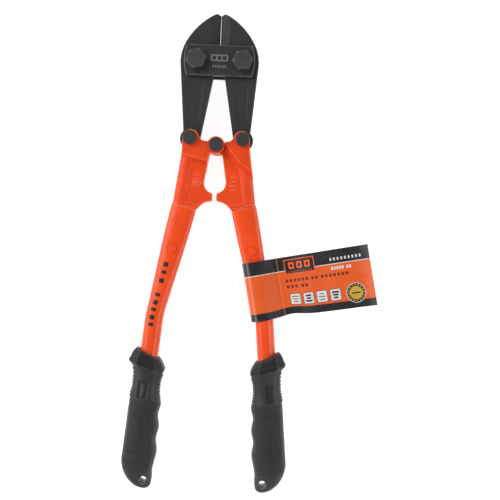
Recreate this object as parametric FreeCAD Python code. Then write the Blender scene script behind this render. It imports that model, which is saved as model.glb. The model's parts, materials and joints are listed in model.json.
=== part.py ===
"""Bolt cutters, 350 mm: two compound-lever jaws, two side plates and two tubular handles.

The tool lies on its back.  X is across the tool, Y runs towards the jaw tips and Z is up,
out of the front face.  The origin is on the centre pivot's axis, on the bench that the rear
nuts rest on.  Everything is in millimetres.  Shapes are drawn for the right-hand side with
their mid-plane at Z = 0, then mirrored where needed and lifted to the mid-plane's height.
"""
import FreeCAD, Part
import math
import os

V = FreeCAD.Vector

# ---- driving dimensions ---------------------------------------------------------------
# Pivots, right-hand side
jaw_pivot_x = 16.9            # jaw bolt from the centre line
jaw_pivot_y = 61.4
link_pivot_x = 19.35          # link bolt between jaw tail and handle head
link_pivot_y = 4.6

# Fits
running_clearance = 0.05      # radial, shaft in a turning hole
fixed_clearance = 0.03        # radial, shaft in a hole that it doesn't turn in
side_clearance = 0.05         # between a jaw face and a plate, or the two lap halves
clevis_clearance = 0.3        # between a jaw face and a clevis cheek
swing_clearance = 0.4         # around a rounded end that turns in a pocket

# Jaws
jaw_thickness = 7.9
tip_y = 96.8                  # blade tips
tip_x = 2.7
tip_notch_depth = 1.3
blade_gap = 0.3               # between the closed cutting edges, at their middle
blade_end_gap = 0.12          # the same, at both ends of the edges
heel_gap = 0.3                # between the rolling heels
blade_start_y = 66.0
blade_bevel_width = 6.2
blade_edge_land = 0.8         # thickness left at the cutting edge
blade_bevel_reach = 2.0       # the bevel's plane is cut from this far past the edge
jaw_max_half_width = 28.7
jaw_shoulder_y = 60.6         # height of the widest point
shoulder_radius = 31.0        # tighter arc above the widest point
shoulder_sweep = 28.0         # its turn, degrees, before the flatter nose arc takes over
leg_outer_x = 24.75           # outer edge of the leg at leg_outer_y
leg_outer_y = 13.0
leg_inner_x = 4.5             # inner edge of the leg at leg_inner_y
leg_inner_y = 48.0
leg_inner_slope = 10.05       # degrees off the centre line
jaw_eye_radius = 7.4
jaw_panel_top_y = 46.0
jaw_panel_bottom_y = 17.0
jaw_panel_margin = 6.2        # from the leg's edges at the panel's top
jaw_panel_bottom_margin = 3.6
jaw_panel_depth = 0.5
jaw_edge_bevel = 0.6
loop_slot_length = 3.4        # free travel of the right jaw on its bolt
loop_slot_angle = 185.9       # direction of that travel
loop_slot_clearance = 0.25

# Side plates
plate_thickness = 3.5
plate_half_height = 11.3
plate_corner_x = 23.9
plate_end_x = 25.9
plate_bevel = 0.7
plate_pad_width = 13.0        # plain raised pad in the middle of the front plate
plate_pad_height = 5.6
plate_pad_rise = 0.25
plate_pad_y = 63.1
plate_pad_round = 1.0

# Jaw bolts, M8 hexagon
jaw_bolt_diameter = 8.0
jaw_bolt_flats = 13.0
jaw_bolt_head_height = 5.3
jaw_nut_height = 5.0
jaw_washer_diameter = 16.0
jaw_washer_thickness = 1.0

# Link and centre bolts, M6 with low round heads
link_bolt_diameter = 6.0
link_head_diameter = 10.2
link_head_height = 3.4
link_nut_flats = 10.0
link_nut_height = 4.0
link_washer_diameter = 11.4
link_washer_thickness = 1.0
head_rim_round = 0.8
left_bolt_turn = 12.0         # how far each hexagon happens to be turned, degrees
right_bolt_turn = 8.0
crown_slope = 1.9             # spread of the cone that takes off a hexagon's corners
crown_top_inset = 0.3
nut_bevel_inset = 0.2
nut_bevel_slope = 2.0

# Handle heads
cheek_half_thickness = 8.5    # ears, arm and lap lobe
web_half_thickness = 4.5
rib_radius = 5.3              # round rib along the outer edge
ear_radius = 6.1
ear_shift = 0.9               # ear's middle, inwards from the link bolt
ear_hollow_radius = 4.5       # where the ear runs into the arm
lobe_radius = 6.3
arm_top_y = 2.7
head_outer_top_y = -4.0       # where the outer edge starts to slope
inner_edge_top_y = -6.0       # inner edge of the casting, from the lap down
inner_edge_lean = 9.6
teardrop_radius = 8.0
teardrop_y = -26.9
stop_gap = 3.0                # between the two stop lobes when the blades meet
stop_bottom_y = -40.7
stop_round = 1.5
crotch_radius = 11.4          # hollow below the stop lobe
panel_depth = 0.8
step_bevel = 2.4              # width of the sloped step between cheek and web
step_lean = 0.35              # sideways share of that slope
front_step = [(5.6, 3.2), (10.2, -3.3), (17.7, -12.4), (27.6, -19.0)]
rear_step = [(5.7, -11.7), (16.9, -9.3), (25.0, -6.3)]
panel_top_x = 16.8            # outer edge of the sunk inner face, below the step
panel_top_y = -12.0
panel_foot_x = 21.4           # the same, near the tube
panel_foot_y = -40.7
panel_foot_slope = 15.0       # lower edge of that face, degrees down towards the crotch
rib_end_distance = 8.0        # the rib's axis runs on this far past the shoulder's corner

# Handle tubes
tube_start_x = 21.8
tube_start_y = -44.4
tube_angle = 12.9             # degrees off the centre line, upper run
grip_angle = 5.5              # the same, lower run
tube_upper_length = 82.6      # start to the bend's corner
tube_lower_length = 110.0     # bend's corner to the end inside the grip
bend_radius = 90.0
tube_diameter = 13.4
tube_wall = 1.5
tube_flat_width = 18.6        # flattened end that holds the head's tang
tube_flat_thickness = 7.9
tang_clearance = 0.1
tang_past_rivet = 11.4        # tongue's run beyond the rivet
tang_root = 2.0               # the tongue's root inside the casting
rivet_diameter = 4.0
rivet_head_diameter = 5.6
rivet_head_rise = 0.65
rivet_seat_gap = 0.2          # under the rivet's low heads
rivet_rim_round = 0.35
rivet_to_label = 7.8          # rivet's middle to the label's upper edge
collar_lip = 0.55             # head's shoulder stands proud of the tube

# Grips, measured along the tube's lower run from the grip's top
tube_in_grip = 81.7           # from the grip's top to the tube's end
grip_clearance = 0.05
grip_rim_wall = 1.9           # around the tube at the rim
grip_rim_drop = 2.8           # the rim is slanted by this each way
grip_collar_wall = 5.7        # around the tube at the collar's widest
grip_collar_distance = 8.0
grip_throat_distance = 13.5
grip_waist_distance = 23.0
grip_flare = 0.85             # finger side gains this at each finger
grip_end_radius = 12.5        # length of the rounded end
grip_half_thickness = 11.0
grip_bottom = 98.6
grip_rim_start = 3.4          # drawn from this far above the rim's middle
grip_collar_thinning = 1.0
# Changes of finger side, palm side and half thickness at the throat, waist, first rise,
# and at the start, middle and end of the rounded end
grip_throat_change = (-1.8, 0.4, -0.6)
grip_waist_change = (-2.7, -1.0, -1.2)
grip_rise_change = (-1.0, -0.2, -0.4)
grip_shoulder_change = (0.2, -2.6, -1.0)
grip_turn_change = (0.7, -7.2, -3.2)
grip_tip_change = (-1.4, -13.8, -8.0)
grip_turn_share = 0.44        # of the rounded end left below its middle station
grip_palm_side = 9.8          # from the tube's axis to the outer side
grip_finger_side = 13.4       # from the tube's axis to the finger side
finger_first = 35.7
finger_pitch = 17.6
finger_rise = 0.9
hang_hole_distance = 91.6
hang_hole_offset = 8.4
hang_hole_diameter = 5.8
hang_hole_length = 10.4       # between the flat seats around the hole
hang_seat_diameter = 8.6

# Hang label: a card sleeve around the right tube with a flag
label_height = 43.3
label_overrun = 1.1           # label's lower edge, past the bend's corner
label_turn = 1.2              # flag leans off square to the tube, degrees
label_fold_distance = 16.4    # tube's axis to the glued fold
label_fold_rise = 1.5
label_end_distance = 80.4
label_end_rise = 28.0
label_card = 0.45             # one layer
label_clearance = 0.35
label_seam = 1.8              # glued length inside the fold
label_lap = 1.2               # flag's root runs back into the fold

# ---- derived ------------------------------------------------------------------------------
half_jaw = jaw_thickness / 2
plate_inner_z = half_jaw + side_clearance
plate_outer_z = plate_inner_z + plate_thickness
jaw_stack = plate_outer_z + jaw_washer_thickness + jaw_nut_height
link_stack = cheek_half_thickness + link_washer_thickness + link_nut_height
mid_height = max(jaw_stack, link_stack)
clevis_half_gap = half_jaw + clevis_clearance
JAW_PIVOT = (jaw_pivot_x, jaw_pivot_y)
LINK_PIVOT = (link_pivot_x, link_pivot_y)
EAR = (link_pivot_x - ear_shift, link_pivot_y)
CENTRE = (0.0, 0.0)
grip_top_distance = tube_lower_length - tube_in_grip     # from the bend's corner
label_start = tube_upper_length + label_overrun - label_height
rivet_distance = label_start - rivet_to_label            # both from the tube's start
tang_length = rivet_distance + tang_past_rivet
beyond = 60.0                 # reach of cutting blocks past the pieces that they cut


# ---- small helpers ------------------------------------------------------------------------
def point(xy, z=0.0):
    return V(xy[0], xy[1], z)


def line(start, end):
    return Part.LineSegment(point(start), point(end)).toShape()


def arc(start, middle, end):
    return Part.Arc(point(start), point(middle), point(end)).toShape()


def bowed(start, end, radius):
    """An arc of the given radius; it bows to the left of start-to-end, or right if negative."""
    chord = (end[0] - start[0], end[1] - start[1])
    length = math.hypot(*chord)
    size = abs(radius)
    bow = size - math.sqrt(size ** 2 - length ** 2 / 4)
    side = math.copysign(bow / length, radius)
    middle = ((start[0] + end[0]) / 2 - side * chord[1], (start[1] + end[1]) / 2 + side * chord[0])
    return arc(start, middle, end)


def slab(edges, low, high):
    """Extrude a closed outline of edges from height low to height high."""
    face = Part.Face(Part.Wire(Part.__sortEdges__(edges)))
    face.translate(V(0, 0, low))
    return face.extrude(V(0, 0, high - low))


def polygon(points, low, high):
    closed = points + [points[0]]
    return slab([line(a, b) for a, b in zip(closed, closed[1:])], low, high)


def disc(centre, radius, low, high):
    return Part.makeCylinder(radius, high - low, point(centre, low))


def hexagon(centre, across_flats, low, high, turn=0.0):
    radius = across_flats / 2 / math.cos(math.pi / 6)
    corners = [polar(centre, radius, turn + 60 * side) for side in range(6)]
    return polygon(corners, low, high)


def polar(centre, radius, degrees):
    angle = math.radians(degrees)
    return (centre[0] + radius * math.cos(angle), centre[1] + radius * math.sin(angle))


def mirrored(shape):
    return shape.mirror(V(0, 0, 0), V(1, 0, 0))


def turned_over(shape):
    """Turn a shape half a turn about the Y axis, which swaps left and right, front and back."""
    copy = shape.copy()
    copy.rotate(V(0, 0, 0), V(0, 1, 0), 180)
    return copy


def both_sides(shape):
    return {"right": shape, "left": mirrored(shape)}


# ---- jaws ---------------------------------------------------------------------------------
def leg_inner_at(y):
    return leg_inner_x + (leg_inner_y - y) * math.tan(math.radians(leg_inner_slope))


def leg_outer_at(y):
    share = (y - leg_outer_y) / (jaw_shoulder_y - leg_outer_y)
    return leg_outer_x + share * (jaw_max_half_width - leg_outer_x)


def heel_start():
    """Where the leg's inner edge runs into the round heel, below the jaw bolt."""
    radius = jaw_pivot_x - heel_gap / 2
    slope = math.radians(leg_inner_slope)
    along = (-math.sin(slope), math.cos(slope))
    foot = (leg_inner_x - jaw_pivot_x, leg_inner_y - jaw_pivot_y)
    half = foot[0] * along[0] + foot[1] * along[1]
    rest = foot[0] ** 2 + foot[1] ** 2 - radius ** 2
    travel = -half - math.sqrt(half ** 2 - rest)
    return (leg_inner_x + travel * along[0], leg_inner_y + travel * along[1])


def jaw_blank():
    heel_radius = jaw_pivot_x - heel_gap / 2
    start = heel_start()
    start_angle = math.degrees(math.atan2(start[1] - jaw_pivot_y, start[0] - jaw_pivot_x)) % 360
    heel_middle = polar(JAW_PIVOT, heel_radius, (start_angle + 180) / 2)
    heel_top = (heel_gap / 2, jaw_pivot_y)
    edge_start = (blade_end_gap / 2, blade_start_y)
    edge_end = (blade_end_gap / 2, tip_y - tip_notch_depth)
    edge_middle = (blade_gap / 2, (edge_start[1] + edge_end[1]) / 2)
    tip = (tip_x, tip_y)
    shoulder = (jaw_max_half_width, jaw_shoulder_y)
    shoulder_centre = (jaw_max_half_width - shoulder_radius, jaw_shoulder_y)
    shoulder_middle = polar(shoulder_centre, shoulder_radius, shoulder_sweep / 2)
    shoulder_end = polar(shoulder_centre, shoulder_radius, shoulder_sweep)
    chord = (shoulder_end[0] - tip[0], tip[1] - shoulder_end[1])
    half_turn = math.atan2(chord[0], chord[1]) - math.radians(shoulder_sweep)
    nose_radius = math.hypot(*chord) / 2 / math.sin(half_turn)
    foot_y = link_pivot_y + jaw_eye_radius * math.sin(math.radians(leg_inner_slope))
    outer_foot = (leg_outer_at(foot_y), foot_y)
    inner_foot = (leg_inner_at(foot_y), foot_y)
    edges = [arc(start, heel_middle, heel_top), line(heel_top, edge_start)]
    edges += [arc(edge_start, edge_middle, edge_end), line(edge_end, tip)]
    edges += [bowed(tip, shoulder_end, nose_radius)]
    edges += [arc(shoulder_end, shoulder_middle, shoulder)]
    edges += [line(shoulder, outer_foot), line(outer_foot, inner_foot), line(inner_foot, start)]
    blank = slab(edges, -half_jaw, half_jaw)
    blank = blank.fuse(disc(LINK_PIVOT, jaw_eye_radius, -half_jaw, half_jaw))
    return blank.removeSplitter()


def blade_bevels():
    """Two wedges that thin the blade to its edge land, one on each face."""
    edge_x = blade_gap / 2
    land = blade_edge_land / 2
    back_x = edge_x + blade_bevel_width
    over_x = edge_x - blade_bevel_reach
    over_z = land - blade_bevel_reach * (half_jaw - land) / blade_bevel_width
    corners = [V(over_x, 0, over_z), V(back_x, 0, half_jaw), V(back_x, 0, half_jaw + 1)]
    corners += [V(over_x, 0, half_jaw + 1)]
    face = Part.Face(Part.makePolygon(corners + [corners[0]]))
    face.translate(V(0, blade_start_y, 0))
    front = face.extrude(V(0, beyond, 0))
    return [front, front.mirror(V(0, 0, 0), V(0, 0, 1))]


def jaw_panels():
    """Shallow sunk panels on both faces of the leg."""
    top, bottom = jaw_panel_top_y, jaw_panel_bottom_y
    corners = [(leg_inner_at(top) + jaw_panel_margin, top)]
    corners += [(leg_outer_at(top) - jaw_panel_margin, top)]
    corners += [(leg_outer_at(bottom) - jaw_panel_bottom_margin, bottom)]
    corners += [(leg_inner_at(bottom) + jaw_panel_bottom_margin, bottom)]
    front = polygon(corners, half_jaw - jaw_panel_depth, half_jaw + 1)
    return [front, front.mirror(V(0, 0, 0), V(0, 0, 1))]


def long_face_edges(shape, height):
    """Outline edges lying flat at plus or minus height."""
    found = []
    for edge in shape.Edges:
        box = edge.BoundBox
        if box.ZLength < 0.001 and abs(abs(box.ZMin) - height) < 0.001:
            found.append(edge)
    return found


def jaw(bolt_hole):
    shape = jaw_blank()
    shape = shape.makeChamfer(jaw_edge_bevel, long_face_edges(shape, half_jaw))
    for cutter in blade_bevels() + jaw_panels():
        shape = shape.cut(cutter)
    eye_radius = link_bolt_diameter / 2 + running_clearance
    shape = shape.cut(disc(LINK_PIVOT, eye_radius, -half_jaw - 1, half_jaw + 1))
    return shape.cut(bolt_hole)


def left_jaw_hole():
    radius = jaw_bolt_diameter / 2 + running_clearance
    return disc(JAW_PIVOT, radius, -half_jaw - 1, half_jaw + 1)


def right_jaw_hole():
    """Slotted, because the lever loop is opened at this bolt."""
    radius = jaw_bolt_diameter / 2 + loop_slot_clearance
    far = polar(JAW_PIVOT, loop_slot_length, loop_slot_angle)
    low, high = -half_jaw - 1, half_jaw + 1
    ends = disc(JAW_PIVOT, radius, low, high).fuse(disc(far, radius, low, high))
    across = [polar(JAW_PIVOT, radius, loop_slot_angle + turn) for turn in (90, -90)]
    across += [polar(far, radius, loop_slot_angle + turn) for turn in (-90, 90)]
    return ends.fuse(polygon(across, low, high)).removeSplitter()


# ---- side plates --------------------------------------------------------------------------
def plate_blank(low, high):
    top = jaw_pivot_y + plate_half_height
    bottom = jaw_pivot_y - plate_half_height
    edges = [line((-plate_corner_x, top), (plate_corner_x, top))]
    edges += [arc((plate_corner_x, top), (plate_end_x, jaw_pivot_y), (plate_corner_x, bottom))]
    edges += [line((plate_corner_x, bottom), (-plate_corner_x, bottom))]
    edges += [arc((-plate_corner_x, bottom), (-plate_end_x, jaw_pivot_y), (-plate_corner_x, top))]
    return slab(edges, low, high)


def front_plate():
    shape = plate_blank(plate_inner_z, plate_outer_z)
    shape = shape.makeChamfer(plate_bevel, long_face_edges(shape, plate_outer_z))
    half_width, half_height = plate_pad_width / 2, plate_pad_height / 2
    pad = Part.makeBox(plate_pad_width, plate_pad_height, plate_pad_rise + 1,
                       V(-half_width, plate_pad_y - half_height, plate_outer_z - 1))
    shape = shape.fuse(pad.makeFillet(plate_pad_round, upright_edges(pad)))
    return drill_plate(shape)


def rear_plate():
    shape = plate_blank(-plate_outer_z, -plate_inner_z)
    return drill_plate(shape.makeChamfer(plate_bevel, long_face_edges(shape, plate_outer_z)))


def upright_edges(shape):
    return [edge for edge in shape.Edges if edge.BoundBox.ZLength > 0.5]


def drill_plate(shape):
    radius = jaw_bolt_diameter / 2 + fixed_clearance
    for side in (-1, 1):
        centre = (side * jaw_pivot_x, jaw_pivot_y)
        shape = shape.cut(disc(centre, radius, -plate_outer_z - 1, plate_outer_z + 1))
    return shape


# ---- fasteners ----------------------------------------------------------------------------
def hex_bolt(centre, turn):
    """Hexagon bolt whose head's corners are turned to a cone."""
    low, high = plate_outer_z, plate_outer_z + jaw_bolt_head_height
    top_radius = jaw_bolt_flats / 2 - crown_top_inset
    foot_radius = top_radius + crown_slope * jaw_bolt_head_height
    crown = Part.makeCone(foot_radius, top_radius, jaw_bolt_head_height, point(centre, low))
    head = hexagon(centre, jaw_bolt_flats, low, high, turn).common(crown)
    shank = disc(centre, jaw_bolt_diameter / 2, -mid_height, low)
    return head.fuse(shank).removeSplitter()


def round_bolt(centre):
    low, high = cheek_half_thickness, cheek_half_thickness + link_head_height
    head = disc(centre, link_head_diameter / 2, low, high)
    rim = [edge for edge in head.Edges if abs(edge.BoundBox.ZMin - high) < 0.001]
    head = head.makeFillet(head_rim_round, rim)
    shank = disc(centre, link_bolt_diameter / 2, -mid_height, low)
    return head.fuse(shank).removeSplitter()


def washer(centre, outer_diameter, bolt_diameter, top, thickness):
    ring = disc(centre, outer_diameter / 2, top - thickness, top)
    return ring.cut(disc(centre, bolt_diameter / 2 + fixed_clearance, top - thickness - 1, top + 1))


def nut(centre, across_flats, bolt_diameter, top, height, turn=0.0):
    """Hexagon nut, bevelled on its outer face."""
    low = top - height
    shape = hexagon(centre, across_flats, low, top, turn)
    bevel = Part.makeCone(across_flats / 2 - nut_bevel_inset,
                          across_flats / 2 + nut_bevel_slope * height, height, point(centre, low))
    shape = shape.common(bevel)
    return shape.cut(disc(centre, bolt_diameter / 2 + fixed_clearance, low - 1, top + 1))


# ---- handle heads -------------------------------------------------------------------------
def tube_point(distance, across=0.0):
    """A point beside the tube's upper run, across being outwards."""
    angle = math.radians(tube_angle)
    return (tube_start_x + distance * math.sin(angle) + across * math.cos(angle),
            tube_start_y - distance * math.cos(angle) + across * math.sin(angle))


def head_outline(low, high):
    """The casting's outline: arm, inner edge, stop lobe, crotch, shoulder and outer edge."""
    face_x = stop_gap / 2
    outer_x = EAR[0] + ear_radius
    round_x = face_x + stop_round
    teardrop = (0.0, teardrop_y)
    teardrop_end = (round_x, teardrop_y - math.sqrt(teardrop_radius ** 2 - round_x ** 2))
    teardrop_side = polar(teardrop, teardrop_radius, inner_edge_lean)
    rise = inner_edge_top_y - teardrop_side[1]
    inner_top = (teardrop_side[0] - rise * math.tan(math.radians(inner_edge_lean)),
                 inner_edge_top_y)
    face_top = (face_x, teardrop_end[1] - stop_round)
    face_bottom = (face_x, stop_bottom_y + stop_round)
    crotch_top = (round_x, stop_bottom_y)
    inner_shoulder = tube_point(0.0, -tube_flat_width / 2 - collar_lip)
    outer_shoulder = tube_point(0.0, tube_flat_width / 2 + collar_lip)
    edges = [line((0.0, inner_edge_top_y), (0.0, arm_top_y))]
    edges += [line((0.0, arm_top_y), (outer_x, arm_top_y))]
    edges += [line((outer_x, arm_top_y), (outer_x, head_outer_top_y))]
    edges += [line((outer_x, head_outer_top_y), outer_shoulder)]
    edges += [line(outer_shoulder, inner_shoulder)]
    edges += [bowed(inner_shoulder, crotch_top, -crotch_radius)]
    edges += [bowed(crotch_top, face_bottom, stop_round), line(face_bottom, face_top)]
    edges += [bowed(face_top, teardrop_end, stop_round)]
    edges += [bowed(teardrop_end, teardrop_side, -teardrop_radius)]
    edges += [line(teardrop_side, inner_top), line(inner_top, (0.0, inner_edge_top_y))]
    return slab(edges, low, high)


def stepped_block(boundary, shift, low, high):
    """A block above a stepped boundary, whose lower side slopes out by shift at its foot."""
    far = beyond
    top = boundary + [(far, boundary[-1][1]), (far, far), (-far, far), (-far, boundary[0][1])]
    foot = [(x + shift[0], y + shift[1]) for x, y in boundary]
    foot += [(far, foot[-1][1]), (far, far), (-far, far), (-far, foot[0][1])]
    wires = []
    for points, z in ((foot, low), (top, high)):
        wires.append(Part.makePolygon([point(p, z) for p in points + [points[0]]]))
    return Part.makeLoft(wires, True, True)


def sunk_face(top_y):
    """Cutter for the sunk inner face of the web, from under the step to near the tube."""
    slope = math.tan(math.radians(panel_foot_slope))
    share = (top_y - panel_foot_y) / (panel_top_y - panel_foot_y)
    top_x = panel_foot_x + share * (panel_top_x - panel_foot_x)
    corners = [(-beyond, top_y), (top_x, top_y), (panel_foot_x, panel_foot_y)]
    corners += [(-beyond, panel_foot_y - slope * (panel_foot_x + beyond))]
    return polygon(corners, web_half_thickness - panel_depth, beyond)


def edge_rib(outer_x):
    """The round rib along the casting's outer edge, cut off at the tube's shoulder."""
    foot = tube_point(0.0, tube_flat_width / 2 + collar_lip)
    top = (outer_x - rib_radius, 0.0)
    end = (foot[0] - rib_radius, foot[1] - rib_end_distance)
    run = point(end) - point(top)
    trim = polygon([top, end, (beyond, end[1]), (beyond, 0.0)], -beyond, beyond)
    rib = Part.makeCylinder(rib_radius, run.Length, point(top), run)
    return rib.cut(tube_slice(0.0, beyond)), trim


def right_head():
    """The right casting: its lap lobe is the rear half, its front half has the lap pocket."""
    thick = cheek_half_thickness
    outline = head_outline(-thick, thick)
    ear = disc(EAR, ear_radius, -thick, thick)
    saddle = ear_saddle(-thick, thick)
    lobe = disc(CENTRE, lobe_radius, -thick, thick)
    full = outline.fuse([ear, saddle, lobe])

    spread = step_bevel * thick / (thick - web_half_thickness)
    shift = (-step_lean * spread, -spread)
    front_cheek = full.common(stepped_block(front_step, shift, 0.0, thick))
    rear_block = stepped_block(rear_step, shift, 0.0, thick).mirror(V(0, 0, 0), V(0, 0, 1))
    rear_cheek = full.common(rear_block)

    rib, trim = edge_rib(EAR[0] + ear_radius)
    web = head_outline(-web_half_thickness, web_half_thickness).cut(trim)
    web = web.cut(sunk_face(front_step[0][1]))
    back = sunk_face(rear_step[1][1]).mirror(V(0, 0, 0), V(0, 0, 1))
    web = web.cut(back)

    shape = web.fuse([rib, front_cheek, rear_cheek, tang()])

    pocket_radius = lobe_radius + swing_clearance
    shape = shape.cut(disc(CENTRE, pocket_radius, -side_clearance, beyond))
    shape = shape.cut(Part.makeBox(beyond, 2 * beyond, beyond, V(-beyond, -beyond, -side_clearance)))
    shape = shape.cut(clevis_space())
    for centre in (CENTRE, LINK_PIVOT):
        fit = running_clearance if centre == CENTRE else fixed_clearance
        radius = link_bolt_diameter / 2 + fit
        shape = shape.cut(disc(centre, radius, -beyond, beyond))
    rivet_hole = disc(tube_point(rivet_distance), rivet_diameter / 2 + fixed_clearance,
                      -beyond, beyond)
    return shape.cut(rivet_hole).removeSplitter()


def ear_saddle(low, high):
    """The hollow curve that joins the arm's top edge to the ear."""
    radius = ear_hollow_radius
    reach = math.sqrt((ear_radius + radius) ** 2 - (arm_top_y + radius - EAR[1]) ** 2)
    centre = (EAR[0] - reach, arm_top_y + radius)
    block = polygon([(centre[0], arm_top_y - 1), (EAR[0], arm_top_y - 1), EAR, centre], low, high)
    return block.cut(disc(centre, radius, low - 1, high + 1))


def clevis_space():
    """Room for the jaw's tail through its whole swing, open upwards and outwards."""
    low, high = -clevis_half_gap, clevis_half_gap
    eye_radius = jaw_eye_radius + clevis_clearance
    space = disc(LINK_PIVOT, eye_radius, low, high)
    inner = polar(LINK_PIVOT, eye_radius, 180 + leg_inner_slope)
    top_inner = polar(inner, beyond, 90 + leg_inner_slope)
    corner = [inner, top_inner, (link_pivot_x + beyond, link_pivot_y + beyond)]
    corner += [(link_pivot_x + beyond, link_pivot_y), LINK_PIVOT]
    return space.fuse(polygon(corner, low, high)).removeSplitter()


# ---- handle tubes -------------------------------------------------------------------------
def oval_wire(centre, degrees, half_width, half_thickness):
    """An oval square to a run that leans degrees off the centre line, as one smooth curve."""
    angle = math.radians(degrees)
    wide, deep = half_width, half_thickness
    placed = FreeCAD.Matrix(math.cos(angle) * wide, 0, math.sin(angle), centre[0],
                            math.sin(angle) * wide, 0, -math.cos(angle), centre[1],
                            0, deep, 0, 0, 0, 0, 0, 1)
    return Part.Wire([Part.Circle().toShape().transformGeometry(placed)])


def bend_cut():
    """How far the bend's arc starts before the corner of the two straight runs."""
    return bend_radius * math.tan(math.radians(tube_angle - grip_angle) / 2)


def tube_section(distance):
    """Half width and half thickness of the tube's outside, from flattened to round."""
    share = min(max(distance / (tube_upper_length - bend_cut()), 0.0), 1.0)
    blend = share * share * (3 - 2 * share)
    mean_blend = 0.5 * (share * share + blend)
    half_width = (tube_flat_width + (tube_diameter - tube_flat_width) * mean_blend) / 2
    half_thickness = (tube_flat_thickness
                      + (tube_diameter - tube_flat_thickness) * mean_blend) / 2
    return half_width, half_thickness


def tube_solid(inset):
    """The whole tube's outside, inset all round, from a little way inside the casting."""
    wires = []
    straight_end = tube_upper_length - bend_cut()
    for step in range(-1, 6):
        distance = max(straight_end * step / 5, -tang_root)
        half_width, half_thickness = tube_section(distance)
        wires.append(oval_wire(tube_point(distance), tube_angle, half_width - inset,
                               half_thickness - inset))
    radius = tube_diameter / 2 - inset
    start = tube_point(straight_end)
    turn = tube_angle - grip_angle
    centre = polar(start, bend_radius, 180 + tube_angle)
    for step in (1, 2):
        angle = tube_angle - turn * step / 2
        wires.append(oval_wire(polar(centre, bend_radius, angle), angle, radius, radius))
    for step in range(1, 6):
        distance = bend_cut() + (tube_lower_length - bend_cut()) * step / 5
        wires.append(oval_wire(lower_point(distance), grip_angle, radius, radius))
    return Part.makeLoft(wires, True, False)


def lower_point(distance, across=0.0):
    """A point beside the lower run, measured from the bend's corner."""
    corner = tube_point(tube_upper_length)
    angle = math.radians(grip_angle)
    return (corner[0] + distance * math.sin(angle) + across * math.cos(angle),
            corner[1] - distance * math.cos(angle) + across * math.sin(angle))


def handle_tube():
    hole = disc(tube_point(rivet_distance), rivet_diameter / 2 + fixed_clearance,
                -beyond, beyond)
    shape = tube_solid(0.0).cut(tube_solid(tube_wall))
    return shape.cut(tube_slice(-2 * tang_root, 0.0)).cut(hole)


def tube_slice(start, end):
    """A block across the upper run between two distances from the tube's start."""
    wide = 2 * tube_flat_width
    corners = [tube_point(start, -wide), tube_point(start, wide)]
    corners += [tube_point(end, wide), tube_point(end, -wide)]
    return polygon(corners, -wide, wide)


def tang():
    """The head's tongue inside the flattened end of the tube, rooted in the shoulder."""
    return tube_solid(tube_wall + tang_clearance).common(tube_slice(-tang_root, tang_length))


def tube_rivet():
    centre = tube_point(rivet_distance)
    surface = tube_section(rivet_distance)[1]
    top = surface + rivet_head_rise
    shank = disc(centre, rivet_diameter / 2, -top, top)
    seat_top = disc(centre, rivet_head_diameter / 2, surface + rivet_seat_gap, top)
    rim = [edge for edge in seat_top.Edges if abs(edge.BoundBox.ZMin - top) < 0.001]
    cap = seat_top.makeFillet(rivet_rim_round, rim)
    return shank.fuse([cap, cap.mirror(V(0, 0, 0), V(0, 0, 1))]).removeSplitter()


# ---- grips --------------------------------------------------------------------------------
def grip_wire(distance, finger_side, palm_side, half_thickness):
    """An oval across the grip, finger_side and palm_side from the tube's axis."""
    middle = (palm_side - finger_side) / 2
    centre = lower_point(grip_top_distance + distance, middle)
    return oval_wire(centre, grip_angle, (palm_side + finger_side) / 2, half_thickness)


def grip_station(distance, change):
    return (distance, grip_finger_side + change[0], grip_palm_side + change[1],
            grip_half_thickness + change[2])


def grip_stations():
    """Distance down the grip, then finger side, palm side and half thickness."""
    rim = tube_diameter / 2 + grip_rim_wall
    collar = tube_diameter / 2 + grip_collar_wall
    rows = [(-grip_rim_start, rim, rim, rim)]
    rows += [(grip_collar_distance, collar, collar, collar - grip_collar_thinning)]
    rows += [grip_station(grip_throat_distance, grip_throat_change)]
    rows += [grip_station(grip_waist_distance, grip_waist_change)]
    rows += [grip_station(finger_first - finger_pitch / 4, grip_rise_change)]
    for finger_number in range(3):
        peak = finger_first + finger_pitch * finger_number
        lean = grip_flare * finger_number
        rows.append(grip_station(peak, (lean, 0, 0)))
        rows.append(grip_station(peak + finger_pitch / 2, (lean - finger_rise, 0, 0)))
    rows += [grip_station(grip_bottom - grip_end_radius, grip_shoulder_change)]
    rows += [grip_station(grip_bottom - grip_turn_share * grip_end_radius, grip_turn_change)]
    return rows + [grip_station(grip_bottom, grip_tip_change)]


def grip():
    wires = [grip_wire(*row) for row in grip_stations()]
    shape = Part.makeLoft(wires, True, False)
    rim = tube_diameter / 2 + grip_rim_wall
    inner = lower_point(grip_top_distance + grip_rim_drop, -rim)
    outer = lower_point(grip_top_distance - grip_rim_drop, rim)
    slope = point(outer) - point(inner)
    low, high = point(inner) - slope, point(outer) + slope
    corners = [(low.x, low.y), (high.x, high.y), (high.x, high.y + beyond), (low.x, low.y + beyond)]
    shape = shape.cut(polygon(corners, -beyond, beyond))
    shape = shape.cut(tube_solid(-grip_clearance))
    hole = lower_point(grip_top_distance + hang_hole_distance, -hang_hole_offset)
    for start, end in ((hang_hole_length / 2, beyond), (-beyond, -hang_hole_length / 2)):
        shape = shape.cut(disc(hole, hang_seat_diameter / 2, start, end))
    return shape.cut(disc(hole, hang_hole_diameter / 2, -beyond, beyond))


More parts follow.
